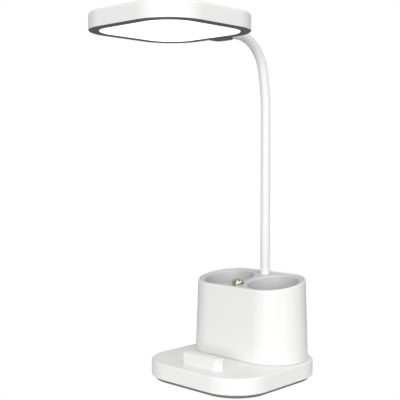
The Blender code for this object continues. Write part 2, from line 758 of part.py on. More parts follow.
def button_cap():
    flange = -(DECK_THICK + GAP)
    wide = BUTTON_RADIUS + BUTTON_FLANGE
    profile = [(0, -button_stem_end()), (BUTTON_STEM, -button_stem_end()), (BUTTON_STEM, flange - BUTTON_FLANGE)]
    profile += [(wide, flange - BUTTON_FLANGE), (wide, flange), (BUTTON_RADIUS, flange)]
    profile += [(BUTTON_RADIUS, BUTTON_PROUD - BUTTON_DOME)]
    for step in range(1, SMALL_STEPS + 1):
        angle = step / (SMALL_STEPS + 1) * QUARTER
        profile.append((BUTTON_RADIUS * math.cos(angle), BUTTON_PROUD - BUTTON_DOME * (1 - math.sin(angle))))
    profile.append((0, BUTTON_PROUD))
    cap = turned("button_cap", profile, polished(), CUP_STEPS // 2)
    cap.matrix_world = button_matrix()


def tact_switch():
    face = -(button_stem_end() + GAP + BUTTON_TRAVEL)
    body_top = face - SWITCH_PLUNGER_TALL
    half = SWITCH_SIDE / 2
    body = box("tact_switch", (-half, -half, body_top - SWITCH_BODY + GAP), (half, half, body_top), dark_plastic())
    plunger = cylinder("plunger", SWITCH_PLUNGER, (0, 0, body_top - SWITCH_BODY / 2), (0, 0, face))
    join(body, plunger)
    bake(body)
    shade(body.data)
    body.matrix_world = button_matrix()


def switch_board():
    top = -switch_board_top()
    half_x, half_y = SWITCH_BOARD_WIDTH / 2, SWITCH_BOARD_LENGTH / 2
    board = box("switch_board", (-half_x, -half_y, top - SWITCH_BOARD_THICK), (half_x, half_y, top), circuit_board())
    for number, y in enumerate((-POST_REACH, POST_REACH), 1):
        hole = cylinder(
            f"pin_hole_{number}",
            POST_PIN + GAP,
            (0, y, top - SWITCH_BOARD_THICK - OVERRUN),
            (0, y, top + OVERRUN),
            sides=SMALL_SIDES,
        )
        cut(board, hole)
    bake(board)
    board.matrix_world = button_matrix()


def neck_foot():
    return deck_height(NECK_Y) - NECK_SINK


def neck_level():
    """Length of the arm's level run, from its bend to the head's tongue."""
    gentle_run = GENTLE_RADIUS * (1 - math.cos(GENTLE_ANGLE))
    tight_run = TIGHT_RADIUS * math.cos(GENTLE_ANGLE)
    return NECK_Y - gentle_run - tight_run - TONGUE_END


def neck_length():
    return NECK_RISE + GENTLE_RADIUS * GENTLE_ANGLE + TIGHT_RADIUS * TIGHT_ANGLE + neck_level()


def neck_at(distance):
    """Point and lean of the arm's middle line, by distance along it; the lean is 0 upright, 90 degrees level."""
    point = Vector((0, NECK_Y, neck_foot()))
    point.z += min(distance, NECK_RISE)
    if distance <= NECK_RISE:
        return point, 0
    distance -= NECK_RISE
    lean = 0
    for radius, turn in ((GENTLE_RADIUS, GENTLE_ANGLE), (TIGHT_RADIUS, TIGHT_ANGLE)):
        part = min(distance / radius, turn)
        point.y -= radius * (math.cos(lean) - math.cos(lean + part))
        point.z += radius * (math.sin(lean + part) - math.sin(lean))
        lean += part
        distance -= radius * part
        if part < turn:
            return point, lean
    point.y -= distance
    return point, lean


def neck_axes(lean):
    """The arm's direction and the direction square to it in the plane of its bend."""
    return Vector((0, -math.sin(lean), math.cos(lean))), Vector((0, math.cos(lean), math.sin(lean)))


def neck_circle(point, lean, radius):
    _, across = neck_axes(lean)
    circle = []
    for side in range(TUBE_SIDES):
        angle = side / TUBE_SIDES * 2 * math.pi
        circle.append(point + across * (radius * math.cos(angle)) + Vector((radius * math.sin(angle), 0, 0)))
    return circle


def joint_distance(number):
    return JOINT_SHARES[number - 1] * neck_length()


def stations(start, end):
    """Distances of a stretch's ends and of the steps of the arm's bends between them."""
    gentle = GENTLE_RADIUS * GENTLE_ANGLE
    tight = TIGHT_RADIUS * TIGHT_ANGLE
    steps = [NECK_RISE + gentle * step / GENTLE_STEPS for step in range(GENTLE_STEPS)]
    steps += [NECK_RISE + gentle + tight * step / TIGHT_STEPS for step in range(TIGHT_STEPS + 1)]
    return [start] + [step for step in steps if start + GAP < step < end - GAP] + [end]


def ball_rings(number):
    """The rounded end below a joint, from its full width to the bore."""
    point, lean = neck_at(joint_distance(number))
    along, _ = neck_axes(lean)
    last = math.acos(SLEEVE_BORE / NECK_RADIUS)
    angles = [last * step / FILLET_STEPS for step in range(1, FILLET_STEPS + 1)]
    return [neck_circle(point + along * (NECK_RADIUS * math.sin(a)), lean, NECK_RADIUS * math.cos(a)) for a in angles]


def seat_radius():
    return NECK_RADIUS + SOCKET_PLAY


def seat_rings(number):
    """The hollow end above a joint, from the bore to the edge that meets the sleeve's outside."""
    point, lean = neck_at(joint_distance(number))
    along, _ = neck_axes(lean)
    first = math.acos(SLEEVE_BORE / seat_radius())
    last = math.acos(NECK_RADIUS / seat_radius())
    angles = [first + (last - first) * step / FILLET_STEPS for step in range(FILLET_STEPS + 1)]
    return [neck_circle(point + along * (seat_radius() * math.sin(a)), lean, seat_radius() * math.cos(a)) for a in angles]


def sleeve_piece(number):
    """A stretch of the sleeve between two joints; the first and the last end square in their seats."""
    last = len(JOINT_SHARES)
    seat_depth = math.sqrt(seat_radius() ** 2 - NECK_RADIUS**2)
    start = joint_distance(number) + seat_depth if number else 0
    end = joint_distance(number + 1) if number < last else neck_length() + NECK_SINK
    rings = [neck_circle(*neck_at(distance), NECK_RADIUS) for distance in stations(start, end)]
    seat_bore = math.sqrt(seat_radius() ** 2 - SLEEVE_BORE**2)
    bore_start = joint_distance(number) + seat_bore if number else 0
    bore = [neck_circle(*neck_at(distance), SLEEVE_BORE) for distance in stations(bore_start, end)]
    if number < last:
        rings += ball_rings(number + 1)
        bore.pop()
    if number:
        del bore[0]
    rings += reversed(bore)
    if number:
        rings += seat_rings(number)[:-1]
    return loft(f"neck_sleeve_{number}", rings, silicone(), closed=True)


def core_piece(number):
    """The steel core inside one stretch of the sleeve; its foot stays clear of the rounded end below."""
    last = len(JOINT_SHARES)
    start = joint_distance(number) + seat_radius() if number else GAP
    end = joint_distance(number + 1) + CORE_TIP if number < last else neck_length() + NECK_SINK - GAP
    rings = [neck_circle(*neck_at(distance), CORE_RADIUS) for distance in stations(start, end)]
    return loft(f"neck_core_{number}", rings, steel())


def move_origin(made, point):
    """Put an object's origin at a point without moving its shape."""
    made.data.transform(Matrix.Translation(made.location - point))
    made.location = point


def hang(made, holder):
    """Parent an object to a joint and keep it where it is."""
    made.parent = holder
    made.matrix_parent_inverse = holder.matrix_world.inverted()


def joint_empty(name, point, holder):
    empty = bpy.data.objects.new(name, None)
    collection("desk_lamp").objects.link(empty)
    empty.location = point
    bpy.context.view_layer.update()
    if holder is not None:
        hang(empty, holder)
        bpy.context.view_layer.update()
    return empty


def arm():
    """The sleeve and its core, hung on a chain of joints; returns the joint that carries the head."""
    holder = None
    for number in range(len(JOINT_SHARES) + 1):
        if number:
            point, _ = neck_at(joint_distance(number))
            holder = joint_empty(f"neck_joint_{number}", point, holder)
        for piece in (sleeve_piece(number), core_piece(number)):
            if number:
                move_origin(piece, point)
                hang(piece, holder)
    return holder


def neck_root_ferrule():
    top = neck_foot() - GAP - GAP
    bottom = top - FERRULE_LENGTH
    profile = [(FERRULE_BORE, bottom), (FERRULE_RADIUS, bottom), (FERRULE_RADIUS, top), (FERRULE_BORE, top)]
    rings = [circle_ring(radius, z) for radius, z in profile]
    loft("neck_root_ferrule", rings, steel(), closed=True)
    nut_top = deck_height(NECK_Y) - DECK_THICK - NECK_BOSS_LENGTH - GAP
    bore = FERRULE_RADIUS + GAP
    profile = [(bore, nut_top - NUT_HEIGHT), (NUT_RADIUS, nut_top - NUT_HEIGHT), (NUT_RADIUS, nut_top), (bore, nut_top)]
    loft("neck_nut", [circle_ring(radius, z) for radius, z in profile], steel(), closed=True)


def circle_ring(radius, height):
    return [point + Vector((0, NECK_Y, height)) for point in neck_circle(Vector(), 0, radius)]


def neck_axis_height():
    return neck_at(neck_length())[0].z


def head_face():
    """Height of the bezel's face, which all heights of the head are measured from."""
    return neck_axis_height() - ARM_ABOVE_FACE


def head_top():
    """Height of the shell where its fillet ends and its crown begins."""
    return head_face() + HEAD_WALL_TALL + HEAD_FILLET


def led_board_foot():
    return head_top() - HEAD_WALL - LED_BOSS_TALL - GAP - LED_BOARD_THICK


def head_shell():
    top = head_top()
    face = head_face()
    crown = [(share * HEAD_CORNER, HEAD_CROWN * rise) for share, rise in zip(CROWN_SHARES, (0.6, 1))]
    inner = [(HEAD_WALL + HEAD_FILLET, 0)] + [(inset, rise) for inset, rise in crown]
    rings = [head_ring(inset, top - HEAD_WALL + rise) for inset, rise in reversed(inner)]
    rings += [head_ring(HEAD_WALL, face + HEAD_WALL_TALL - HEAD_WALL)]
    rings += [head_ring(HEAD_WALL, face + HEAD_SHADOW), head_ring(0, face + HEAD_SHADOW)]
    rings += [head_ring(inset, top - drop) for inset, drop in fillet(HEAD_FILLET, FILLET_STEPS + 1)]
    rings += [head_ring(inset, top + rise) for inset, rise in crown]
    shell = loft("head_shell", rings, white_plastic())
    notch_half = TONGUE_WIDTH / 2 + GAP
    low = (-notch_half, HEAD_BACK - HEAD_WALL - HEAD_FILLET - OVERRUN, face - OVERRUN)
    cut(shell, box("tongue_notch", low, (notch_half, HEAD_BACK + OVERRUN, face + TONGUE_TALL + GAP)))
    bore = BOARD_SCREW[2] + GAP
    foot = led_board_foot() + LED_BOARD_THICK + GAP
    for number, (x, y) in enumerate(corners(BOARD_SCREW_REACH, HEAD_Y), 1):
        boss_top = top - HEAD_WALL / 2
        join(shell, cylinder(f"board_boss_{number}", bore + BOSS_WALL, (x, y, foot), (x, y, boss_top)))
        bore_top = top - HEAD_WALL
        cut(shell, cylinder(f"board_bore_{number}", bore, (x, y, foot - OVERRUN), (x, y, bore_top), sides=SMALL_SIDES))
    return shell


def head_bezel():
    """Dark ring with the diffuser's shelf, its wall inside the shell, and the tongue that takes the arm."""
    face = head_face()
    step = face + HEAD_SHADOW - GAP
    wall = HEAD_WALL + GAP
    shelf = face + BEZEL_THICK
    rings = [head_ring(BEZEL_WIDTH, face), head_ring(BEZEL_STEP + BEZEL_CHAMFER, face)]
    rings += [head_ring(BEZEL_STEP, face + BEZEL_CHAMFER / 2), head_ring(BEZEL_STEP, step), head_ring(wall, step)]
    rings += [head_ring(wall, step + BEZEL_WALL_TALL), head_ring(wall + BEZEL_WALL, step + BEZEL_WALL_TALL)]
    rings += [head_ring(wall + BEZEL_WALL, shelf), head_ring(BEZEL_WIDTH, shelf)]
    bezel = loft("head_bezel", rings, dark_plastic(), closed=True)
    axis = neck_axis_height()
    join(bezel, tongue_block(), saddle_block(axis))
    inside = HEAD_BACK - wall - BEZEL_WALL
    bore = FERRULE_RADIUS + GAP
    cut(bezel, cylinder("arm_bore", bore, (0, SADDLE_END - OVERRUN, axis), (0, TONGUE_END + OVERRUN, axis)))
    seat = TONGUE_END - NECK_SINK - GAP
    cut(bezel, cylinder("arm_seat", NECK_RADIUS + GAP, (0, seat, axis), (0, TONGUE_END + OVERRUN, axis)))
    half = TONGUE_WIDTH / 2 + OVERRUN
    low = (-half, SADDLE_END - OVERRUN, axis - GAP / 2)
    cut(bezel, box("clamp_room", low, (half, inside, face + TONGUE_TALL + OVERRUN)))
    tap = CLAMP_SCREW[2] + GAP / 2
    for number, x in enumerate((-CLAMP_SCREW_REACH, CLAMP_SCREW_REACH), 1):
        bottom = (x, clamp_y(), diffuser_top() + GAP * 3)
        cut(bezel, cylinder(f"clamp_tap_{number}", tap, bottom, (x, clamp_y(), axis + OVERRUN), sides=SMALL_SIDES))
    return bezel


def tongue_block():
    inner_end = HEAD_BACK - HEAD_WALL - GAP - BEZEL_WALL
    middle_y = (TONGUE_END + inner_end) / 2
    half_y = (TONGUE_END - inner_end) / 2
    face = head_face()

    def ring(inset, height):
        corner = TONGUE_CORNER - inset
        return outline(TONGUE_WIDTH / 2 - inset, half_y - inset, corner, height, (0, middle_y), SMALL_STEPS)

    rings = [ring(BEZEL_CHAMFER, face), ring(0, face + BEZEL_CHAMFER)]
    rings += [ring(inset, face + TONGUE_TALL - drop) for inset, drop in fillet(TONGUE_FILLET)]
    return loft("tongue_block", rings)


def diffuser_top():
    return head_face() + BEZEL_THICK + GAP + DIFFUSER_FLANGE


def saddle_block(axis):
    half = TONGUE_WIDTH / 2
    back = HEAD_BACK - HEAD_WALL - GAP - BEZEL_WALL / 2
    return box("saddle_block", (-half, SADDLE_END, diffuser_top() + GAP), (half, back, axis))


def clamp_y():
    return SADDLE_END + CLAMP_LENGTH / 2 + GAP


def diffuser():
    play = BEZEL_WIDTH + DIFFUSER_PLAY
    foot = head_face() + DIFFUSER_PLAY
    shelf = head_face() + BEZEL_THICK + GAP
    flange = HEAD_WALL + BEZEL_WALL + 2 * GAP + DIFFUSER_PLAY
    rings = [head_ring(play, foot), head_ring(play, shelf)]
    inside = foot + DIFFUSER_THICK
    rings += [head_ring(flange, shelf), head_ring(flange, diffuser_top())]
    rings += [head_ring(play + DIFFUSER_THICK, diffuser_top()), head_ring(play + DIFFUSER_THICK, inside)]
    return loft("diffuser", rings, opal())


def led_board():
    half = LED_BOARD_SIDE / 2
    foot = led_board_foot()
    rings = [
        outline(half, half, LED_BOARD_CORNER, foot + rise, (0, HEAD_Y), FILLET_STEPS) for rise in (0, LED_BOARD_THICK)
    ]
    board = loft("led_board", rings, material("white_solder_mask", (0.80, 0.80, 0.78), 0.4))
    reach = LED_PITCH * (LED_COUNT - 1) / 2
    low = (-reach - LED_LENGTH / 2, HEAD_Y - reach - LED_WIDTH / 2, foot - LED_TALL)
    high = (-reach + LED_LENGTH / 2, HEAD_Y - reach + LED_WIDTH / 2, foot + LED_BOARD_THICK / 2)
    leds = box("leds", low, high)
    for axis in range(2):
        array = leds.modifiers.new(f"array_{'xy'[axis]}", "ARRAY")
        array.count = LED_COUNT
        array.use_relative_offset = False
        array.use_constant_offset = True
        array.constant_offset_displace = [LED_PITCH if index == axis else 0 for index in range(3)]
    join(board, leds)
    hole = BOARD_SCREW[2] + GAP
    for number, (x, y) in enumerate(corners(BOARD_SCREW_REACH, HEAD_Y), 1):
        bottom, top = (x, y, foot - OVERRUN), (x, y, foot + LED_BOARD_THICK + OVERRUN)
        cut(board, cylinder(f"board_hole_{number}", hole, bottom, top, sides=SMALL_SIDES))
        screw(f"board_screw_{number}", BOARD_SCREW, downward(x, y, foot - GAP))
    return board


def neck_end_parts():
    """The ferrule on the arm's end, the clamp over it and the clamp's screws."""
    axis = neck_axis_height()
    front = TONGUE_END - NECK_SINK - GAP - GAP
    tail = SADDLE_END - END_FERRULE_TAIL
    rings = []
    for radius, y in ((FERRULE_BORE, tail), (FERRULE_RADIUS, tail), (FERRULE_RADIUS, front), (FERRULE_BORE, front)):
        rings.append([point + Vector((0, y, axis)) for point in neck_circle(Vector(), QUARTER, radius)])
    loft("neck_end_ferrule", rings, steel(), closed=True)
    half = TONGUE_WIDTH / 2 - GAP
    low = (-half, clamp_y() - CLAMP_LENGTH / 2, axis + GAP / 2)
    high = (half, clamp_y() + CLAMP_LENGTH / 2, axis + CLAMP_TALL)
    clamp = box("neck_clamp", low, high, dark_plastic())
    bore = FERRULE_RADIUS + GAP
    cut(clamp, cylinder("clamp_bore", bore, (0, low[1] - OVERRUN, axis), (0, high[1] + OVERRUN, axis)))
    for number, x in enumerate((-CLAMP_SCREW_REACH, CLAMP_SCREW_REACH), 1):
        hole = CLAMP_SCREW[2] + GAP / 2
        bottom, top = (x, clamp_y(), axis - OVERRUN), (x, clamp_y(), axis + CLAMP_TALL + OVERRUN)
        cut(clamp, cylinder(f"clamp_hole_{number}", hole, bottom, top, sides=SMALL_SIDES))
        head = axis + CLAMP_TALL + GAP
        screw(f"clamp_screw_{number}", CLAMP_SCREW, upward(x, clamp_y(), head))


def lamp():
    wipe_scene()
    base_shell()
    bottom_cover()
    anti_slip_pad()
    ballast_plate()
    cover_screws()
    battery_pack()
    control_board()
    charging_socket()
    holder_shell()
    holder_screws()
    cup_insert()
    button_cap()
    tact_switch()
    switch_board()
    neck_root_ferrule()
    head_joint = arm()
    before = set(bpy.data.objects)
    head_shell()
    head_bezel()
    diffuser()
    led_board()
    neck_end_parts()
    group = collection("desk_lamp")
    for made in set(bpy.data.objects) - before:
        if made.name in group.objects:
            hang(made, head_joint)


lamp()
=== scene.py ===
"""Desk lamp with a pen holder: its visible pieces, modelled and finished round the CAD frame.

Metres, +Z up. The origin is at the middle of the underside and the front is -Y.
"""

import json
import math

import bmesh
import bpy
from bpy.props import FloatProperty, FloatVectorProperty, PointerProperty
from mathutils import Matrix, Vector


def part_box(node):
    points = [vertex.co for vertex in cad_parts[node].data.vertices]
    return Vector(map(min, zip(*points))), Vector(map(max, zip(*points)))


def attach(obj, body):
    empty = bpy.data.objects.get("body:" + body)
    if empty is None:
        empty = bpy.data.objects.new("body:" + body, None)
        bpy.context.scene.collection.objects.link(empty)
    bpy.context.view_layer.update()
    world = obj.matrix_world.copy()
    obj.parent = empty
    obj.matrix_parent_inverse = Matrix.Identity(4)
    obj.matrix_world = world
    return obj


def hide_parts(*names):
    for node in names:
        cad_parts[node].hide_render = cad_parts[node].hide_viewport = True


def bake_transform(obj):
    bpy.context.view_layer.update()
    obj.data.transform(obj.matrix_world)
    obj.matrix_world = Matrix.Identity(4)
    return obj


bl_info = {
    "name": "Desk lamp with pen holder",
    "version": (1, 0, 0),
    "blender": (4, 5, 0),
    "location": "3D View > Sidebar > Desk lamp",
    "description": "Models a desk lamp with a pen holder, piece by piece, round its CAD frame",
    "category": "Object",
}

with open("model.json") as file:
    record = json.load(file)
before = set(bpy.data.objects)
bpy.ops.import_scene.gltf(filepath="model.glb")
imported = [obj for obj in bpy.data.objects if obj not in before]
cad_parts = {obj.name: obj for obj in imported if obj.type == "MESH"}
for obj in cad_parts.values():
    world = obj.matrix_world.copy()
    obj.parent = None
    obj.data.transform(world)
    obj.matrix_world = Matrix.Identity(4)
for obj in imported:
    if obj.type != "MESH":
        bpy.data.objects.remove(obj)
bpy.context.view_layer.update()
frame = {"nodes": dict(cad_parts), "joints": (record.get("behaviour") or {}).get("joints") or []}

MM = 0.001
QUARTER = math.pi / 2
NEAR = 0.02 * MM
GAP = 0.3 * MM  # between pieces that seat on each other
OVERRUN = 1.0 * MM  # how far a cutter passes the face that it cuts
LEVEL = 0.99  # least upward or downward share of a level face's normal

# Facets and shading
CORNER_STEPS = 28
STOP_END_STEPS = 14
TONGUE_STEPS = 10
PORT_STEPS = 8
FLARE_STEPS = 8
RIM_STEPS = 6
SMALL_STEPS = 4
FINE_STEPS = 3
CHAMFER_STEPS = 2
OVAL_SIDES = 160
CUP_SIDES = 96
TUBE_SIDES = 48
DOME_RINGS = 48
SCREW_SIDES = 32
SMOOTH_ANGLE = math.radians(32)
SLEEVE_SMOOTH_ANGLE = math.radians(40)
NORMAL_WEIGHT = 60

# Base
BASE_EDGE = 4.4 * MM
BASE_TOP = 20.3 * MM
BASE_WALL = 2.4 * MM
FLANGE_WIDTH = 7.0 * MM
FLANGE_THICK = 2.0 * MM
EDGE_CHAMFER = 0.4 * MM
STOP_SIZE = (47.4 * MM, 8.6 * MM, 12.0 * MM)
STOP_PLACE = (5.4 * MM, -49.4 * MM)
STOP_CORNER = 1.2 * MM
STOP_FILLET = 0.6 * MM
STOP_SLAB = 2.2 * MM
STOP_SLAB_CORNER = 3.6 * MM
STOP_FOOT_ROUND = 0.4 * MM
PORT_SIZE = (9.6 * MM, 3.8 * MM)
PORT_ROUND = 0.49  # share of the port's height
COVER_INSET = 4.2 * MM
COVER_FOOT = 0.5 * MM
COVER_TOP = 3.0 * MM
COVER_CHAMFER = 0.6 * MM
COVER_RIM = 2.0 * MM
PAD_CORNER = 20.0 * MM
PAD_THICK = 1.2 * MM
PAD_RIBS = 3
PAD_RIB_GAP = 2.4 * MM
PAD_RIB_WIDTH = 1.4 * MM
PAD_RIB_DEPTH = 0.25 * MM
SCREW_REACH = 45.0 * MM
SCREW_PLACES = [(x * SCREW_REACH, y * SCREW_REACH) for y in (-1, 1) for x in (-1, 1)]
SCREW_HEAD = (3.0 * MM, 1.4 * MM)  # radius and height
SCREW_HEAD_ROUND = 0.9 * MM
SCREW_SHANK = (1.5 * MM, 8.0 * MM)
SCREW_TIP = 1.0 * MM
SCREW_TIP_SHARE = 0.5
CROSS_SHARE = 0.55  # of the head's radius
CROSS_WIDTH = 0.7 * MM
CROSS_DEPTH = 0.8 * MM

# Pen holder
HOLDER_Y = 29.0 * MM
HOLDER_REACH = 30.0 * MM
HOLDER_FOOT = 20.6 * MM
HOLDER_FOOT_RADIUS = 36.0 * MM
HOLDER_RIM = 98.7 * MM
HOLDER_RIM_RADIUS = 33.2 * MM
HOLDER_WALL = 2.6 * MM
LIP_WALL = 1.6 * MM
LIP_ROUND = 1.1 * MM
LIP_INNER_ROUND = 0.3 * MM
LIP_NEAR = NEAR * 5
RIM_CAGE = 60 * MM
DECK_TOP = 97.9 * MM
DECK_THICK = 2.2 * MM
CUP_DRAFT = 1.0 * MM
CUP_WALL = 1.8 * MM
CUP_FLOOR = 26.0 * MM
CUP_FLOOR_ROUND = 3.0 * MM
BOSS_RADIUS = 6.0 * MM
BOSS_LENGTH = 22.0 * MM
BUTTON_Y = 9.0 * MM
BUTTON_CLEAR = 0.35 * MM
BUTTON_PROUD = 6.4 * MM
BUTTON_BRIM = 1.1 * MM  # wider than the cap's shank by this much
BUTTON_BRIM_CLEAR = 1.0 * MM  # above the deck, a little more than the travel
BUTTON_BRIM_ROUND = 0.3 * MM
BUTTON_DOME = 4.6 * MM
BUTTON_FLANGE = 0.8 * MM
BUTTON_STEM = 1.6 * MM

# Arm
NECK_Y = 53.0 * MM
NECK_SINK = 1.6 * MM
NECK_RISE = 170.1 * MM
NECK_WALL = 1.1 * MM
NECK_BORE = 3.7 * MM
NECK_BORE_START = -40 * MM
GENTLE = (215.0 * MM, math.radians(12.9))  # radius and turn of the lower bend
TIGHT = (41.3 * MM, math.radians(77.1))  # and of the upper one
TONGUE_END = -9.5 * MM
RING_STEP = 2.6 * MM
LEAST_BEND_STEPS = 8
LINE_STEPS = 200
JOINT_REACH = 1.05  # how far past the next joint a cut is looked for
BLEND_MARGIN = 3.0 * MM
SPREAD = 18.0 * MM  # from a joint to the end of its stretch of sleeve where no cut bounds it
FIRST_WAY = Vector((0, 0, 1))  # from the arm's foot to its first joint
LAST_WAY = Vector((0, -1, 0.1)).normalized()  # and on from its last one

# Light head
HEAD_Y = -88.4 * MM
HEAD_SIDE = 130.0 * MM
HEAD_FACE = 342.1 * MM
HEAD_SHADOW = 0.6 * MM
HEAD_TOP = 358.7 * MM
HEAD_WALL = 2.0 * MM
CROWN_STEPS = 4
CROWN_REACH = 27.6 * MM
BEZEL_STEP = 0.5 * MM
BEZEL_THICK = 1.6 * MM
BEZEL_WALL = 1.6 * MM
BEZEL_WALL_TALL = 5.0 * MM
BEZEL_CHAMFER = 0.3 * MM
RIM_NEAR = 0.05 * MM
TONGUE_WIDTH = 22.0 * MM
TONGUE_CORNER = 5.0 * MM
TONGUE_TALL = 14.2 * MM
TONGUE_FILLET = 1.2 * MM
DIFFUSER_PLAY = 0.2 * MM
DIFFUSER_THICK = 1.6 * MM
DIFFUSER_CHAMFER = 0.4 * MM
DIFFUSER_FLANGE = 5.6 * MM
DIFFUSER_FLANGE_THICK = 1.2 * MM
DIFFUSER_EDGE_GLOW = 0.92

# Camera, found by matching the outline of the lamp in the picture
CAMERA_PLACE = (0.53803, -0.61165, 0.22524)
CAMERA_FORWARD = (-0.68954, 0.72232, -0.05280)
LENS = 71.94
SENSOR = 36.0
CLIP = (0.01, 100.0)

# Studio light: each lobe and soft box has its angle round from the camera and above level, in
# degrees, and its strength
WHITE = (1, 1, 1, 1)
FLOOR_SIDE = 30.0
POOL_EDGE = (0.12, 0.4)
POOL_GLOW = (0.62, 0.34)
AMBIENT = 0.24
LOBES = ((0, 0, 0.08), (180, 0, 0.35), (0, 90, 0.1))
STUDIO_CENTRE = Vector((0, 0, 0.18))
STUDIO_REACH = 2.0
SOFT_BOX_SIDE = 0.9
SOFT_BOXES = ((-20, 6, 16.6), (28, 6, 4.2), (0, 40, 15.0), (60, 40, 7.0))

# Finishes: a colour or the colour property that gives it, roughness, grain per metre, height of
# the grain, drift of the tone, and marks in the gloss
FINISHES = {
    "moulded_white": ("shell", 0.3, 2600.0, 0.06, 0.015, 0.08),
    "moulded_grey": ("insert", 0.38, 2200.0, 0.05, 0.02, 0.08),
    "grained_dark": ("bezel", 0.55, 1900.0, 0.2, 0.08, 0.08),
    "grained_plate": ("plate", 0.5, 1900.0, 0.2, 0.08, 0.08),
    "soft_sleeve": ("arm", 0.45, 3200.0, 0.02, 0.004, 0.01),
    "polished_button": ("button", 0.12, 1200.0, 0.01, 0.02, 0.05),
    "foot_rubber": ((0.03, 0.03, 0.03), 0.85, 1500.0, 0.5, 0.2, 0.08),
    "plated_steel": ((0.56, 0.56, 0.57), 0.3, 1400.0, 0.15, 0.08, 0.25),
    "rolled_steel": ((0.48, 0.48, 0.49), 0.38, 900.0, 0.25, 0.15, 0.3),
    "lit_opal": ((0.93, 0.93, 0.92), 0.35, 1800.0, 0.08, 0.01, 0.08),
    "green_solder_mask": ((0.03, 0.16, 0.07), 0.4, 700.0, 0.2, 0.5, 0.08),
    "white_solder_mask": ((0.80, 0.80, 0.78), 0.35, 700.0, 0.2, 0.05, 0.08),
    "cell_wrap": ((0.16, 0.28, 0.42), 0.3, 400.0, 0.3, 0.15, 0.2),
}
METALS = ("polished_button", "plated_steel", "rolled_steel")
GRAIN_STRETCH = {"rolled_steel": (1, 0.04, 1)}  # drawn out along the sheet
BUMP_DEPTH = 0.05 * MM
GRAIN_NOISE = (2.0, 0.55)  # detail and roughness
DRIFT_NOISE = (18.0, 3.0, 0.5)  # scale, detail and roughness
MARKS_NOISE = (95.0, 5.0, 0.65)
MEAN_NOISE = 0.5
SURFACE_INPUTS = {
    "Vector": "Vector",
    "Colour": "Color",
    "Roughness": "Float",
    "Grain scale": "Float",
    "Drift": "Float",
    "Marks": "Float",
}
SURFACE_OUTPUTS = {"Colour": "Color", "Roughness": "Float", "Grain": "Float"}
INNER_FINISHES = {
    "ballast_plate": "rolled_steel",
    "battery_pack": "cell_wrap",
    "control_board": "green_solder_mask",
    "switch_board": "green_solder_mask",
    "led_board": "white_solder_mask",
    "tact_switch": "grained_dark",
    "neck_clamp": "grained_dark",
}


def length_property(name, description, default):
    return FloatProperty(name=name, description=description, default=default, unit="LENGTH")


def colour_property(name, description, default):
    return FloatVectorProperty(
        name=name, description=description, default=default, subtype="COLOR", size=3
    )


class LampSizes(bpy.types.PropertyGroup):
    base_corner: length_property("Base corner", "Radius of the base's upright corners", 0.0393)
    base_fillet: length_property("Base fillet", "Rounding of the base's upper edge", 0.0022)
    rim_slope: FloatProperty(
        name="Rim slope", description="How much the rim climbs towards the back", default=0.15
    )
    cup_radius: length_property("Cup radius", "Inside radius of each cup at its mouth", 0.0263)
    cup_lip: length_property("Cup lip", "Rounding where a cup meets the deck", 0.002)
    button_radius: length_property("Button radius", "Radius of the button's shank", 0.0054)
    neck_radius: length_property("Arm radius", "Outside radius of the bendable arm", 0.005)
    head_corner: length_property("Head corner", "Radius of the head's upright corners", 0.0395)
    head_fillet: length_property("Head fillet", "Rounding of the head's upper edge", 0.0029)
    head_crown: length_property("Head crown", "How far the head's top swells", 0.001)
    bezel_width: length_property("Bezel width", "From the head's side to the diffuser", 0.0098)
    light: FloatProperty(name="Light", description="Glow of the diffuser", default=1.35, min=0.0)


class LampColours(bpy.types.PropertyGroup):
    shell: colour_property("Shells", "White of the base, holder and head", (0.86, 0.86, 0.855))
    insert: colour_property("Cup insert", "Moulded grey of the double cup", (0.62, 0.62, 0.625))
    bezel: colour_property("Bezel", "Dark grey of the bezel", (0.12, 0.12, 0.123))
    plate: colour_property("Base plate", "Lighter dark grey of the plate", (0.19, 0.19, 0.193))
    arm: colour_property("Arm", "White of the arm's sleeve", (0.89, 0.89, 0.885))
    button: colour_property("Button", "Tint of the polished button", (0.66, 0.65, 0.46))


# Modelling steps


def deselect():
    if bpy.context.mode != "OBJECT":
        bpy.ops.object.mode_set(mode="OBJECT")
    bpy.ops.object.select_all(action="DESELECT")


def take(made):
    """Select one object alone and make it the active one."""
    deselect()
    made.select_set(True)
    bpy.context.view_layer.objects.active = made


def keep_place(name):
    """Name the newest object and put its place into its mesh."""
    made = bpy.context.active_object
    made.name = name
    made.data.name = name
    bpy.ops.object.transform_apply(location=True, rotation=True, scale=True)
    return made


def block(name, low, high):
    deselect()
    low, high = Vector(low), Vector(high)
    bpy.ops.mesh.primitive_cube_add(size=1, location=(low + high) / 2, scale=high - low)
    return keep_place(name)


def drum(name, radius, low, high, centre=(0, 0), sides=CUP_SIDES, turn=0.0):
    deselect()
    bpy.ops.mesh.primitive_cylinder_add(
        vertices=sides,
        radius=radius,
        depth=high - low,
        location=(*centre, (low + high) / 2),
        rotation=(0, 0, turn),
    )
    return keep_place(name)


def edit(made):
    take(made)
    bpy.ops.object.mode_set(mode="EDIT")


def leave():
    bpy.ops.object.mode_set(mode="OBJECT")


def choose(kind, test):
    """Select the vertices, edges or faces that pass a test, and nothing else."""
    bpy.ops.mesh.select_mode(type=kind)
    bpy.ops.mesh.select_all(action="DESELECT")
    mesh = bpy.context.edit_object.data
    form = bmesh.from_edit_mesh(mesh)
    items = {"VERT": form.verts, "EDGE": form.edges, "FACE": form.faces}[kind]
    found = [item for item in items if test(item)]
    if not found:
        raise RuntimeError(f"nothing was found to select on {bpy.context.edit_object.name}")
    for item in found:
        item.select_set(True)
    form.select_flush_mode()
    bmesh.update_edit_mesh(mesh)


def choose_all():
    bpy.ops.mesh.select_all(action="SELECT")


def upright(edge):
    one, other = (vertex.co for vertex in edge.verts)
    return math.hypot(one.x - other.x, one.y - other.y) < NEAR


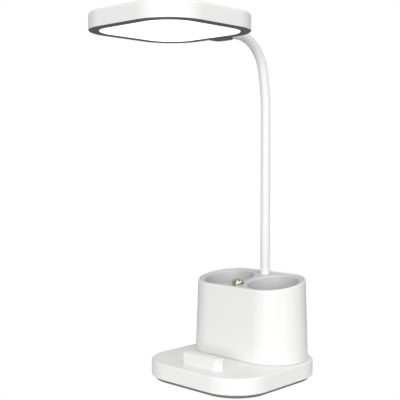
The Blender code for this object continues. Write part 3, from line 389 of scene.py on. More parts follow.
def at_height(z):
    return lambda item: all(abs(vertex.co.z - z) < NEAR for vertex in item.verts)


def level(face):
    return abs(face.normal.z) > LEVEL


def cap(z):
    """Test for a whole level face at one height."""
    return lambda face: level(face) and abs(face.calc_center_median().z - z) < NEAR


def bevel(width, steps):
    bpy.ops.mesh.bevel(
        offset=width, segments=steps, profile=0.5, affect="EDGES", clamp_overlap=False
    )


def bevel_at(z, width, steps):
    choose("EDGE", at_height(z))
    bevel(width, steps)


def extrude(rise, along=0):
    """Draw what is selected up or down, or along Y."""
    bpy.ops.mesh.extrude_region_move(TRANSFORM_OT_translate={"value": (0, along, rise)})


def inset(width):
    bpy.ops.mesh.inset(thickness=width, use_even_offset=True)


def resize(share, centre):
    """Widen or narrow what is selected, all round a centre and without a change of height."""
    bpy.ops.transform.resize(value=(share, share, 1), center_override=centre)


def modify(made, kind, **settings):
    """Add one modifier and apply it."""
    take(made)
    bpy.ops.object.modifier_add(type=kind)
    modifier = made.modifiers[-1]
    for key, value in settings.items():
        setattr(modifier, key, value)
    bpy.ops.object.modifier_apply(modifier=modifier.name)


def combine(made, other, operation):
    modify(made, "BOOLEAN", operation=operation, object=other, solver="EXACT")
    bpy.data.objects.remove(other)


def join(made, other):
    combine(made, other, "UNION")


def cut(made, other):
    combine(made, other, "DIFFERENCE")


def smooth(made):
    """Smooth shading that stays flat on flat faces and sharp at sharp edges."""
    take(made)
    bpy.ops.object.shade_smooth_by_angle(angle=SMOOTH_ANGLE)
    modify(made, "WEIGHTED_NORMAL", keep_sharp=True, weight=NORMAL_WEIGHT)


def dress(made, material, slot_name, *replaced):
    """Give a finished piece its material and hide the CAD nodes that it stands for; slot_name is
    not used.
    """
    made.data.materials.clear()
    made.data.materials.append(material)
    if replaced:
        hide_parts(*replaced)


def squircle(name, half, corner, low, high, centre=(0, 0)):
    """A square slab with round upright corners."""
    x, y = centre
    made = block(name, (x - half, y - half, low), (x + half, y + half, high))
    edit(made)
    choose("EDGE", upright)
    bevel(corner, CORNER_STEPS)
    leave()
    return made


def oval(name, radius, low, high, top_radius=None):
    """An oval slab as wide as the holder: a drum whose halves are drawn apart."""
    made = drum(name, radius, low, high, (0, HOLDER_Y), OVAL_SIDES, math.pi / OVAL_SIDES)
    edit(made)
    if top_radius is not None:
        choose("VERT", lambda vertex: vertex.co.z > high - NEAR)
        resize(top_radius / radius, (0, HOLDER_Y, high))
    for side in (1, -1):
        choose("VERT", lambda vertex: vertex.co.x * side > 0)
        bpy.ops.transform.translate(value=(side * HOLDER_REACH, 0, 0))
    leave()
    return made


def oval_reach(point):
    """Distance of a point from the line between the two cups' axes."""
    return math.hypot(max(abs(point.x) - HOLDER_REACH, 0), point.y - HOLDER_Y)


def slope_rim(made, slope):
    """Raise the back of the holder's rim and lower its front with a lattice."""
    tall = HOLDER_RIM - HOLDER_FOOT
    deselect()
    bpy.ops.object.add(type="LATTICE", location=(0, HOLDER_Y, (HOLDER_FOOT + HOLDER_RIM) / 2))
    cage = bpy.context.active_object
    cage.scale = (4 * RIM_CAGE, 2 * RIM_CAGE, tall)
    for axis in "uvw":
        setattr(cage.data, f"points_{axis}", 2)
        setattr(cage.data, f"interpolation_type_{axis}", "KEY_LINEAR")
    for point in cage.data.points:
        if point.co.z > 0:
            side = 1 if point.co.y > 0 else -1
            point.co_deform.z = point.co.z + side * slope * RIM_CAGE / tall
    modify(made, "LATTICE", object=cage)
    bpy.data.objects.remove(cage)


def deck_height(y, slope):
    share = (DECK_TOP - HOLDER_FOOT) / (HOLDER_RIM - HOLDER_FOOT)
    return DECK_TOP + share * slope * (y - HOLDER_Y)


def button_place(slope):
    """The button's place and tilt on the sloping deck."""
    place = Matrix.Translation((0, BUTTON_Y, deck_height(BUTTON_Y, slope)))
    return place @ Matrix.Rotation(math.atan(slope), 4, "X")


# Materials


def new_node(tree, kind, **settings):
    made = tree.nodes.new(kind)
    for key, value in settings.items():
        setattr(made, key, value)
    return made


def feed(tree, made, values):
    """Give a node's inputs, by name or place, another node's output or a plain value."""
    for key, value in values.items():
        if isinstance(value, bpy.types.NodeSocket):
            tree.links.new(value, made.inputs[key])
        else:
            made.inputs[key].default_value = value


def noise(tree, vector, scale, detail, rough):
    made = new_node(tree, "ShaderNodeTexNoise")
    feed(tree, made, {"Vector": vector, "Scale": scale, "Detail": detail, "Roughness": rough})
    return made.outputs["Fac"]


def calculate(tree, operation, *values, **settings):
    made = new_node(tree, "ShaderNodeMath", operation=operation, **settings)
    feed(tree, made, dict(enumerate(values)))
    return made.outputs["Value"]


def measure(tree, operation, *vectors):
    """Length or dot product of vectors."""
    made = new_node(tree, "ShaderNodeVectorMath", operation=operation)
    feed(tree, made, dict(enumerate(vectors)))
    return made.outputs["Value"]


def map_range(tree, value, start, end, **settings):
    made = new_node(tree, "ShaderNodeMapRange", **settings)
    names = ("Value", "From Min", "From Max", "To Min", "To Max")
    feed(tree, made, dict(zip(names, (value, *start, *end))))
    return made.outputs["Result"]


def surface_group():
    """Fine grain, a slow drift of tone and handling marks, for every finish."""
    found = bpy.data.node_groups.get("moulded_surface")
    if found:
        return found
    group = bpy.data.node_groups.new("moulded_surface", "ShaderNodeTree")
    for way, sockets in (("INPUT", SURFACE_INPUTS), ("OUTPUT", SURFACE_OUTPUTS)):
        for name, kind in sockets.items():
            group.interface.new_socket(name=name, in_out=way, socket_type="NodeSocket" + kind)
    given = new_node(group, "NodeGroupInput")
    result = new_node(group, "NodeGroupOutput")
    vector = given.outputs["Vector"]
    grain = noise(group, vector, given.outputs["Grain scale"], *GRAIN_NOISE)
    slow = calculate(group, "SUBTRACT", noise(group, vector, *DRIFT_NOISE), MEAN_NOISE)
    drift = calculate(group, "MULTIPLY_ADD", slow, given.outputs["Drift"], 1.0)
    tone = new_node(group, "ShaderNodeVectorMath", operation="SCALE")
    feed(group, tone, {0: given.outputs["Colour"], "Scale": drift})
    marks = calculate(group, "SUBTRACT", noise(group, vector, *MARKS_NOISE), MEAN_NOISE)
    scuffs = (marks, given.outputs["Marks"], given.outputs["Roughness"])
    rough = calculate(group, "MULTIPLY_ADD", *scuffs, use_clamp=True)
    feed(group, result, {"Colour": tone.outputs["Vector"], "Roughness": rough, "Grain": grain})
    return group


def finish(context, name):
    """A finish of the table: grain in the bump, drift in the colour, marks in the gloss."""
    found = bpy.data.materials.get(name)
    if found:
        return found
    colour, roughness, grain, height, drift, marks = FINISHES[name]
    if isinstance(colour, str):
        colour = getattr(context.scene.lamp_colours, colour)
    made = bpy.data.materials.new(name)
    made.use_nodes = True
    tree = made.node_tree
    place = new_node(tree, "ShaderNodeTexCoord")
    mapping = new_node(tree, "ShaderNodeMapping")
    stretch = GRAIN_STRETCH.get(name, (1, 1, 1))
    feed(tree, mapping, {"Vector": place.outputs["Object"], "Scale": stretch})
    surface = new_node(tree, "ShaderNodeGroup", node_tree=surface_group())
    inputs = (mapping.outputs["Vector"], (*colour, 1), roughness, grain, drift, marks)
    feed(tree, surface, dict(zip(SURFACE_INPUTS, inputs)))
    bump = new_node(tree, "ShaderNodeBump")
    grain = surface.outputs["Grain"]
    feed(tree, bump, {"Strength": height, "Distance": BUMP_DEPTH, "Height": grain})
    feed(tree, tree.nodes["Principled BSDF"], {
        "Base Color": surface.outputs["Colour"],
        "Roughness": surface.outputs["Roughness"],
        "Normal": bump.outputs["Normal"],
        "Metallic": float(name in METALS),
    })
    return made


def lit_opal(context):
    """Opal plastic over lit chips: it glows evenly, a little less towards its rim."""
    if "lit_opal" in bpy.data.materials:
        return bpy.data.materials["lit_opal"]
    made = finish(context, "lit_opal")
    tree = made.node_tree
    place = new_node(tree, "ShaderNodeTexCoord")
    flat = new_node(tree, "ShaderNodeMapping")
    feed(tree, flat, {
        "Vector": place.outputs["Object"],
        "Location": (0, -HEAD_Y, 0),
        "Scale": (1, 1, 0),
    })
    far = measure(tree, "LENGTH", flat.outputs["Vector"])
    falloff = map_range(tree, far, (0.0, HEAD_SIDE / 2), (1.0, DIFFUSER_EDGE_GLOW))
    glow = {"Emission Color": falloff, "Emission Strength": context.scene.lamp_sizes.light}
    feed(tree, tree.nodes["Principled BSDF"], glow)
    made.cycles.emission_sampling = "NONE"
    return made


class PieceOperator:
    """What all the operators share: they stay in the undo history."""

    bl_options = {"REGISTER", "UNDO"}


class LAMP_OT_base_shell(PieceOperator, bpy.types.Operator):
    """Model the white base shell with its phone stop and its charging port"""

    bl_idname = "lamp.base_shell"
    bl_label = "Base shell"

    def execute(self, context):
        sizes = context.scene.lamp_sizes
        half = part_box("bottom_cover")[1].x + COVER_INSET
        shell = squircle("base_body", half, sizes.base_corner, BASE_EDGE, BASE_TOP)
        edit(shell)
        bevel_at(BASE_TOP, sizes.base_fillet, RIM_STEPS)
        bevel_at(BASE_EDGE, EDGE_CHAMFER, CHAMFER_STEPS)
        choose("FACE", cap(BASE_EDGE))
        inset(FLANGE_WIDTH - EDGE_CHAMFER)
        extrude(FLANGE_THICK)
        extrude(0)
        resize((half - BASE_WALL) / (half - FLANGE_WIDTH), (0, 0, 0))
        extrude(BASE_TOP - BASE_WALL - BASE_EDGE - FLANGE_THICK)
        leave()
        self.add_stop(shell)
        cut(shell, self.port(half))
        smooth(shell)
        dress(shell, finish(context, "moulded_white"), "white_plastic", "base_shell")
        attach(shell, "base")
        return {"FINISHED"}

    def port(self, back):
        """The cutter of the charging port, in line with the socket behind it."""
        width, tall = PORT_SIZE
        socket_low, socket_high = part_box("charging_socket")
        middle = (socket_low.z + socket_high.z) / 2
        low = (-width / 2, back - BASE_WALL - OVERRUN, middle - tall / 2)
        high = (width / 2, back + OVERRUN, middle + tall / 2)
        port = block("port", low, high)
        edit(port)
        choose("EDGE", lambda edge: abs(edge.verts[0].co.y - edge.verts[1].co.y) > OVERRUN)
        bevel(tall * PORT_ROUND, PORT_STEPS)
        leave()
        return port

    def add_stop(self, shell):
        """Join the phone stop to the deck: a round-ended body under a tighter slab."""
        length, depth, tall = STOP_SIZE
        x, y = STOP_PLACE
        low = (x - length / 2, y - depth / 2, BASE_TOP - OVERRUN)
        high = (x + length / 2, y + depth / 2, BASE_TOP + tall)
        stop = block("stop", low, high)

        def round_end(edge):
            return upright(edge) and edge.verts[0].co.x > x and edge.verts[0].co.y < y

        slab = block("stop_slab", (low[0], low[1], high[2] - STOP_SLAB), high)
        for part, end_radius in ((stop, depth - STOP_CORNER - GAP), (slab, STOP_SLAB_CORNER)):
            edit(part)
            choose("EDGE", lambda edge: upright(edge) and not round_end(edge))
            bevel(STOP_CORNER, SMALL_STEPS)
            choose("EDGE", round_end)
            bevel(end_radius, STOP_END_STEPS)
            bevel_at(high[2], STOP_FILLET, SMALL_STEPS)
            leave()
        join(stop, slab)
        join(shell, stop)
        edit(shell)

        def under_stop(vertex):
            across, along = abs(vertex.co.x - x), abs(vertex.co.y - y)
            return across < length / 2 + NEAR and along < depth / 2 + NEAR

        def foot(edge):
            return all(under_stop(vertex) for vertex in edge.verts) and at_height(BASE_TOP)(edge)

        choose("EDGE", foot)
        bevel(STOP_FOOT_ROUND, FINE_STEPS)
        leave()


class LAMP_OT_base_plate(PieceOperator, bpy.types.Operator):
    """Model the dark bottom cover, its rubber pad and its four screws"""

    bl_idname = "lamp.base_plate"
    bl_label = "Bottom cover, pad and screws"

    def execute(self, context):
        sizes = context.scene.lamp_sizes
        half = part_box("bottom_cover")[1].x
        under_shell = BASE_EDGE - GAP
        corner = sizes.base_corner - COVER_INSET
        cover = squircle("base_plate", half, corner, COVER_FOOT, under_shell)
        edit(cover)
        bevel_at(COVER_FOOT, COVER_CHAMFER, FINE_STEPS)
        choose("FACE", cap(under_shell))
        inset(FLANGE_WIDTH + GAP - COVER_INSET)
        extrude(COVER_RIM)
        inset(COVER_RIM)
        extrude(COVER_TOP - under_shell - COVER_RIM)
        leave()
        pad_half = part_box("anti_slip_pad")[1].x
        cut(cover, squircle("recess", pad_half + GAP, PAD_CORNER + GAP, -OVERRUN, PAD_THICK + GAP))
        head, shank = SCREW_HEAD[0] + GAP, SCREW_SHANK[0] + GAP
        under_head = COVER_FOOT + SCREW_HEAD[1] + GAP / 2
        first = None
        for number, place in enumerate(SCREW_PLACES, 1):
            cut(cover, drum("recess", head, -OVERRUN, under_head, place, SCREW_SIDES))
            cut(cover, drum("hole", shank, 0, COVER_TOP + OVERRUN, place, SCREW_SIDES))
            first = self.screw(context, first, number, place)
        smooth(cover)
        dress(cover, finish(context, "grained_plate"), "dark_plastic", "bottom_cover")
        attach(cover, "base")
        pad = squircle("foot_pad", pad_half, PAD_CORNER, 0, PAD_THICK)
        edit(pad)
        choose("FACE", cap(0))
        for _ in range(PAD_RIBS):
            inset(PAD_RIB_GAP)
            extrude(PAD_RIB_DEPTH)
            inset(PAD_RIB_WIDTH)
            extrude(-PAD_RIB_DEPTH)
        leave()
        smooth(pad)
        dress(pad, finish(context, "foot_rubber"), "pad_rubber", "anti_slip_pad")
        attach(pad, "base")
        return {"FINISHED"}

    def screw(self, context, first, number, place):
        """A pan-head screw with a cross recess; the later ones are copies of the first."""
        if first is None:
            made = self.first_screw(place)
        else:
            take(first)
            bpy.ops.object.duplicate()
            made = bpy.context.active_object
            move = [there - here for there, here in zip(place, SCREW_PLACES[0])]
            bpy.ops.transform.translate(value=(*move, 0))
            bpy.ops.object.transform_apply(location=True)
        made.name = made.data.name = f"plate_screw_{number}"
        dress(made, finish(context, "plated_steel"), "steel", f"cover_screw_{number}")
        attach(made, "base")
        return first or made

    def first_screw(self, place):
        x, y = place
        radius, tall = SCREW_HEAD
        top = COVER_FOOT + tall
        made = drum("screw", radius, COVER_FOOT, top, place, SCREW_SIDES)
        edit(made)
        bevel_at(COVER_FOOT, SCREW_HEAD_ROUND, RIM_STEPS)
        choose("FACE", cap(top))
        inset(radius - SCREW_SHANK[0])
        extrude(SCREW_SHANK[1] - SCREW_TIP)
        extrude(SCREW_TIP)
        resize(SCREW_TIP_SHARE, (x, y, 0))
        leave()
        arm = radius * CROSS_SHARE
        for wide, deep in ((arm, CROSS_WIDTH / 2), (CROSS_WIDTH / 2, arm)):
            low = (x - wide, y - deep, COVER_FOOT - OVERRUN)
            cut(made, block("cross", low, (x + wide, y + deep, COVER_FOOT + CROSS_DEPTH)))
        smooth(made)
        return made


class LAMP_OT_holder_sleeve(PieceOperator, bpy.types.Operator):
    """Model the white tapered sleeve of the pen holder with its thin lip"""

    bl_idname = "lamp.holder_sleeve"
    bl_label = "Holder sleeve"

    def execute(self, context):
        foot, rim = HOLDER_FOOT_RADIUS, HOLDER_RIM_RADIUS
        sleeve = oval("holder_sleeve", foot, HOLDER_FOOT, HOLDER_RIM, rim)
        ledge = DECK_TOP - DECK_THICK - GAP
        edit(sleeve)
        choose("FACE", cap(HOLDER_RIM))
        inset(LIP_WALL)
        extrude(ledge - HOLDER_RIM)
        inset(HOLDER_WALL - LIP_WALL)
        choose("FACE", cap(HOLDER_FOOT))
        inset(HOLDER_WALL)
        choose("FACE", lambda face: len(face.verts) == OVAL_SIDES and level(face))
        bpy.ops.mesh.bridge_edge_loops()

        def lip(edge, outer):
            one, other = (oval_reach(vertex.co) for vertex in edge.verts)
            along_rim = at_height(HOLDER_RIM)(edge) and abs(one - other) < LIP_NEAR
            return along_rim and (one > HOLDER_RIM_RADIUS - LIP_WALL / 2) == outer

        choose("EDGE", lambda edge: lip(edge, True))
        bevel(LIP_ROUND, RIM_STEPS)
        choose("EDGE", lambda edge: lip(edge, False))
        bevel(LIP_INNER_ROUND, CHAMFER_STEPS)
        leave()
        slope_rim(sleeve, context.scene.lamp_sizes.rim_slope)
        smooth(sleeve)
        dress(sleeve, finish(context, "moulded_white"), "white_plastic", "holder_shell")
        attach(sleeve, "base")
        return {"FINISHED"}


class LAMP_OT_double_cup(PieceOperator, bpy.types.Operator):
    """Model the grey insert: a deck with two cups, the seat of the arm and the button's hole"""

    bl_idname = "lamp.double_cup"
    bl_label = "Double cup"

    def execute(self, context):
        sizes = context.scene.lamp_sizes
        slope = sizes.rim_slope
        radius = HOLDER_RIM_RADIUS - LIP_WALL - GAP
        insert = oval("double_cup", radius, DECK_TOP - DECK_THICK, DECK_TOP)
        for side in (-1, 1):
            join(insert, self.cup_body(sizes, side))
        for side in (-1, 1):
            cut(insert, self.cup_hollow(sizes, side))
        slope_rim(insert, slope)
        deck = deck_height(NECK_Y, slope)
        seat = deck - NECK_SINK - GAP
        under = deck - DECK_THICK - BOSS_LENGTH
        place = (0, NECK_Y)
        join(insert, drum("boss", BOSS_RADIUS, under, seat - GAP, place, TUBE_SIDES))
        seat_radius = sizes.neck_radius + GAP
        cut(insert, drum("seat", seat_radius, seat, deck + 3 * OVERRUN, place, TUBE_SIDES))
        cut(insert, drum("bore", NECK_BORE, under - OVERRUN, deck, place, TUBE_SIDES))
        hole_radius = sizes.button_radius + BUTTON_CLEAR
        hole = drum("hole", hole_radius, -DECK_THICK - OVERRUN, 2 * OVERRUN)
        hole.matrix_world = button_place(slope)
        cut(insert, hole)
        smooth(insert)
        dress(insert, finish(context, "moulded_grey"), "grey_plastic", "cup_insert")
        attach(insert, "base")
        return {"FINISHED"}

    def drafted_cup(self, name, side, radius, low, high, floor_steps):
        """A cup's form, a little narrower at its rounded floor."""
        centre = (side * HOLDER_REACH, HOLDER_Y)
        cup = drum(name, radius, low, high, centre)
        edit(cup)
        choose("VERT", lambda vertex: vertex.co.z < low + NEAR)
        resize((radius - CUP_DRAFT) / radius, (*centre, low))
        bevel_at(low, CUP_FLOOR_ROUND, floor_steps)
        leave()
        return cup

    def cup_body(self, sizes, side):
        high = DECK_TOP - DECK_THICK / 2
        radius = sizes.cup_radius + CUP_WALL
        return self.drafted_cup("cup", side, radius, CUP_FLOOR - CUP_WALL, high, SMALL_STEPS)

    def cup_hollow(self, sizes, side):
        """The cutter of one cup, with the flare of its lip."""
        radius, lip = sizes.cup_radius, sizes.cup_lip
        high = DECK_TOP - lip
        hollow = self.drafted_cup("hollow", side, radius, CUP_FLOOR, high, RIM_STEPS)
        edit(hollow)
        choose("FACE", cap(high))
        wide, tall = radius, 0.0
        for step in range(1, FLARE_STEPS + 1):
            angle = step / FLARE_STEPS * QUARTER
            rise = lip * math.sin(angle)
            grown = radius + lip * (1 - math.cos(angle))
            extrude(rise - tall)
            resize(grown / wide, (side * HOLDER_REACH, HOLDER_Y, 0))
            wide, tall = grown, rise
        extrude(OVERRUN)
        leave()
        return hollow


class LAMP_OT_button(PieceOperator, bpy.types.Operator):
    """Model the polished dome of the button with its brim, flange and stem"""

    bl_idname = "lamp.button"
    bl_label = "Button"

    def execute(self, context):
        sizes = context.scene.lamp_sizes
        radius = sizes.button_radius
        brim = radius + BUTTON_BRIM
        waist = (0, 0, BUTTON_PROUD - BUTTON_DOME)
        deselect()
        bpy.ops.mesh.primitive_uv_sphere_add(
            segments=CUP_SIDES,
            ring_count=DOME_RINGS,
            radius=brim,
            location=waist,
            scale=(1, 1, BUTTON_DOME / brim),
        )
        cap_piece = keep_place("button_dome")
        edit(cap_piece)
        choose_all()
        bpy.ops.mesh.bisect(plane_co=waist, plane_no=(0, 0, 1), clear_inner=True, use_fill=True)
        choose("FACE", cap(waist[2]))
        extrude(BUTTON_BRIM_CLEAR - waist[2])
        inset(BUTTON_BRIM)
        extrude(-(BUTTON_BRIM_CLEAR + DECK_THICK + GAP))

        def brim_edge(edge):
            outermost = edge.verts[0].co.xy.length > brim - NEAR
            return outermost and at_height(BUTTON_BRIM_CLEAR)(edge)

        choose("EDGE", brim_edge)
        bevel(BUTTON_BRIM_ROUND, FINE_STEPS)
        choose("FACE", cap(-(DECK_THICK + GAP)))
        extrude(0)
        resize((radius + BUTTON_FLANGE) / radius, (0, 0, 0))
        extrude(-BUTTON_FLANGE)
        inset(radius + BUTTON_FLANGE - BUTTON_STEM)
        extrude(-BUTTON_STEM)
        leave()
        cap_piece.matrix_world = button_place(sizes.rim_slope)
        take(cap_piece)
        bpy.ops.object.transform_apply(location=True, rotation=True, scale=True)
        smooth(cap_piece)
        dress(cap_piece, finish(context, "polished_button"), "polished_metal", "button_cap")
        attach(cap_piece, "button")
        return {"FINISHED"}


class LAMP_OT_arm(PieceOperator, bpy.types.Operator):
    """Model the arm's sleeve as one swept tube, parted into pieces between the joints"""

    bl_idname = "lamp.arm"
    bl_label = "Arm sleeve"

    def execute(self, context):
        tube = self.sweep(context.scene.lamp_sizes)
        hinges = [joint for joint in frame["joints"] if joint["type"] == "hinge"]
        spots = [Vector(joint["pos_m"]) for joint in hinges]
        cuts = [self.between(one, other) for one, other in zip(spots, spots[1:])]
        for number, joint in enumerate(hinges):
            piece = self.part(tube, number, cuts)
            replaced = [f"neck_sleeve_{number}"]
            if number == len(hinges) - 1:
                replaced.append(f"neck_sleeve_{number + 1}")
            dress(piece, finish(context, "soft_sleeve"), "white_silicone", *replaced)
            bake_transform(piece)
        bpy.data.objects.remove(tube)
        return {"FINISHED"}

    def sweep(self, sizes):
        """A ring is drawn up, spun through both bends and drawn out to the head."""
        foot = deck_height(NECK_Y, sizes.rim_slope) - NECK_SINK
        deselect()
        bpy.ops.mesh.primitive_circle_add(
            vertices=TUBE_SIDES,
            radius=sizes.neck_radius,
            location=(0, NECK_Y, foot),
            rotation=(0, 0, QUARTER),
        )
        tube = keep_place("arm_tube")
        edit(tube)
        bpy.ops.mesh.select_mode(type="EDGE")
        choose_all()
        count = round(NECK_RISE / RING_STEP)
        for _ in range(count):
            extrude(NECK_RISE / count)
        at = Vector((0, NECK_Y, foot + NECK_RISE))
        lean = 0.0
        for radius, turn in (GENTLE, TIGHT):
            centre = at - radius * spoke(lean)
            steps = max(LEAST_BEND_STEPS, round(radius * turn / (RING_STEP / 2)))
            bpy.ops.mesh.spin(steps=steps, angle=turn, center=centre, axis=(-1, 0, 0))
            lean += turn
            at = centre + radius * spoke(lean)
        run = at.y - TONGUE_END + NECK_SINK
        count = round(run / RING_STEP)
        for _ in range(count):
            extrude(0, -run / count)
        choose_all()
        bpy.ops.mesh.remove_doubles(threshold=NEAR)
        bpy.ops.mesh.normals_make_consistent(inside=False)
        leave()
        return tube

    def between(self, one, other):
        """Place and direction of a cut half way between two joints, on the arm's middle line."""
        reach = (other - one).length * JOINT_REACH
        line = [self.line_at(step / LINE_STEPS) for step in range(LINE_STEPS + 1)]
        near = [(point, way) for point, way in line if (point - one).length < reach]
        return min(near, key=lambda spot: abs((spot[0] - one).length - (spot[0] - other).length))

    def line_at(self, share):
        """Point and direction at a share of the arm's length, the sunk end left out."""
        slope = bpy.context.scene.lamp_sizes.rim_slope
        foot = Vector((0, NECK_Y, deck_height(NECK_Y, slope) - NECK_SINK))
        gentle, tight = GENTLE[0], TIGHT[0]
        turn = GENTLE[1]
        top = foot + Vector((0, 0, NECK_RISE))
        middle = top + gentle * (spoke(turn) - spoke(0))
        high = middle + tight * (spoke(QUARTER) - spoke(turn))
        runs = [NECK_RISE, gentle * turn, tight * TIGHT[1], high.y - TONGUE_END]
        distance = share * sum(runs)
        if distance <= runs[0]:
            return foot + Vector((0, 0, distance)), lean_way(0)
        distance -= runs[0]
        if distance <= runs[1]:
            lean = distance / gentle
            return top + gentle * (spoke(lean) - spoke(0)), lean_way(lean)
        distance -= runs[1]
        if distance <= runs[2]:
            lean = turn + distance / tight
            return middle + tight * (spoke(lean) - spoke(turn)), lean_way(lean)
        return high - Vector((0, distance - runs[2], 0)), lean_way(QUARTER)

    def part(self, tube, number, cuts):
        take(tube)
        bpy.ops.object.duplicate()
        piece = bpy.context.active_object
        piece.name = piece.data.name = f"arm_sleeve_{number + 1}"
        edit(piece)
        for index, side in ((number - 1, "clear_inner"), (number, "clear_outer")):
            if 0 <= index < len(cuts):
                point, way = cuts[index]
                choose_all()
                bpy.ops.mesh.bisect(plane_co=point, plane_no=way, **{side: True})
        leave()
        modify(piece, "SOLIDIFY", thickness=NECK_WALL, offset=-1, use_even_offset=True)
        take(piece)
        bpy.ops.object.shade_smooth_by_angle(angle=SLEEVE_SMOOTH_ANGLE)
        return piece

    def bend_span(self, number, spots, cuts):
        """Two points, either side of a joint, at the ends of the stretch of sleeve round it."""
        before = spots[number] - FIRST_WAY * SPREAD
        after = spots[number] + LAST_WAY * SPREAD
        if number:
            before = cuts[number - 1][0]
        if number < len(cuts):
            after = cuts[number][0]
        along = (after - before).normalized()
        return before + along * BLEND_MARGIN, after - along * BLEND_MARGIN


def spoke(lean):
    """From the middle of a bend of radius 1 to the arm's line, where the arm leans so far."""
    return Vector((0, math.cos(lean), math.sin(lean)))


def lean_way(lean):
    """Direction of the arm's line where it leans so far from upright."""
    return Vector((0, -math.sin(lean), math.cos(lean)))


class LAMP_OT_head_shell(PieceOperator, bpy.types.Operator):
    """Model the white shell of the light head with its slightly crowned top"""

    bl_idname = "lamp.head_shell"
    bl_label = "Head shell"

    def execute(self, context):
        sizes = context.scene.lamp_sizes
        half = HEAD_SIDE / 2
        foot = HEAD_FACE + HEAD_SHADOW
        shell = squircle("head_body", half, sizes.head_corner, foot, HEAD_TOP, (0, HEAD_Y))
        edit(shell)
        bevel_at(HEAD_TOP, sizes.head_fillet, RIM_STEPS)
        choose("FACE", cap(HEAD_TOP))
        last = 0.0
        for step in range(1, CROWN_STEPS + 1):
            share = step / CROWN_STEPS
            rise = sizes.head_crown * (1 - (1 - share) ** 2)
            inset(CROWN_REACH / CROWN_STEPS)
            bpy.ops.transform.translate(value=(0, 0, rise - last))
            last = rise
        choose("FACE", cap(foot))
        inset(HEAD_WALL)
        extrude(HEAD_TOP - HEAD_WALL - foot)
        leave()
        notch = TONGUE_WIDTH / 2 + GAP
        back = HEAD_Y + half
        low = (-notch, back - HEAD_WALL - sizes.head_fillet - OVERRUN, HEAD_FACE - OVERRUN)
        cut(shell, block("notch", low, (notch, back + OVERRUN, HEAD_FACE + TONGUE_TALL + GAP)))
        smooth(shell)
        dress(shell, finish(context, "moulded_white"), "white_plastic", "head_shell")
        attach(shell, "head")
        return {"FINISHED"}


class LAMP_OT_bezel(PieceOperator, bpy.types.Operator):
    """Model the dark bezel ring, its inner wall and the tongue that takes the arm"""

    bl_idname = "lamp.bezel"
    bl_label = "Bezel"

    def execute(self, context):
        sizes = context.scene.lamp_sizes
        half = HEAD_SIDE / 2 - BEZEL_STEP
        corner = sizes.head_corner - BEZEL_STEP
        top = HEAD_FACE + BEZEL_THICK
        ring = squircle("bezel_ring", half, corner, HEAD_FACE, top, (0, HEAD_Y))
        width = sizes.bezel_width - BEZEL_STEP
        step = HEAD_WALL + GAP - BEZEL_STEP
        edit(ring)
        choose("FACE", cap(HEAD_FACE))
        inset(width)
        choose("FACE", cap(top))
        inset(step)
        inset(BEZEL_WALL)
        inset(width - step - BEZEL_WALL)
        choose("FACE", lambda face: len(face.verts) > 4)
        bpy.ops.mesh.bridge_edge_loops()

        def on_wall(face):
            reach = squircle_inset(face.calc_center_median(), half, corner)
            return cap(top)(face) and step < reach < step + BEZEL_WALL

        def on_rim(edge):
            reaches = [squircle_inset(vertex.co, half, corner) for vertex in edge.verts]
            return at_height(HEAD_FACE)(edge) and max(reaches) < RIM_NEAR

        choose("FACE", on_wall)
        extrude(BEZEL_WALL_TALL - BEZEL_THICK)
        choose("EDGE", on_rim)
        bevel(BEZEL_CHAMFER, CHAMFER_STEPS)
        leave()
        join(ring, self.tongue(HEAD_Y + half - step - BEZEL_WALL))
        self.bore(ring, NECK_BORE, NECK_BORE_START)
        self.bore(ring, sizes.neck_radius + GAP, TONGUE_END - NECK_SINK - GAP)
        smooth(ring)
        dress(ring, finish(context, "grained_dark"), "dark_plastic", "head_bezel")
        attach(ring, "head")
        return {"FINISHED"}

    def bore(self, ring, radius, start):
        """Bore the tongue in line with the arm's end."""
        low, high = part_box("neck_end_ferrule")
        length = TONGUE_END + OVERRUN - start
        deselect()
        bpy.ops.mesh.primitive_cylinder_add(
            vertices=TUBE_SIDES,
            radius=radius,
            depth=length,
            location=(0, start + length / 2, (low.z + high.z) / 2),
            rotation=(QUARTER, 0, 0),
        )
        cut(ring, keep_place("bore"))

    def tongue(self, front):
        half = TONGUE_WIDTH / 2
        low = (-half, front, HEAD_FACE)
        high = (half, TONGUE_END, HEAD_FACE + TONGUE_TALL)
        tongue = block("tongue", low, high)
        edit(tongue)
        choose("EDGE", upright)
        bevel(TONGUE_CORNER, TONGUE_STEPS)
        bevel_at(high[2], TONGUE_FILLET, SMALL_STEPS)
        bevel_at(low[2], BEZEL_CHAMFER, CHAMFER_STEPS)
        leave()
        return tongue


def squircle_inset(point, half, corner):
    """How far a point of the head lies inside the outline of a square with round corners."""
    x, y = abs(point.x), abs(point.y - HEAD_Y)
    core = half - corner
    if x > core and y > core:
        return corner - math.hypot(x - core, y - core)
    return half - max(x, y)


class LAMP_OT_diffuser(PieceOperator, bpy.types.Operator):
    """Model the lit opal diffuser as a shallow tray with its flange"""

    bl_idname = "lamp.diffuser"
    bl_label = "Diffuser"

    def execute(self, context):
        sizes = context.scene.lamp_sizes
        play = sizes.bezel_width + DIFFUSER_PLAY
        half = HEAD_SIDE / 2 - play
        foot = HEAD_FACE + DIFFUSER_PLAY
        shelf = HEAD_FACE + BEZEL_THICK + GAP
        tray = squircle("lit_panel", half, sizes.head_corner - play, foot, shelf, (0, HEAD_Y))
        edit(tray)
        bevel_at(foot, DIFFUSER_CHAMFER, FINE_STEPS)
        choose("FACE", cap(shelf))
        extrude(0)
        resize((half + DIFFUSER_FLANGE) / half, (0, HEAD_Y, 0))
        extrude(DIFFUSER_FLANGE_THICK)
        inset(DIFFUSER_FLANGE + DIFFUSER_THICK)
        extrude(-DIFFUSER_FLANGE_THICK)
        leave()
        smooth(tray)
        dress(tray, lit_opal(context), "opal_plastic", "diffuser")
        tray.visible_diffuse = False
        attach(tray, "head")
        return {"FINISHED"}


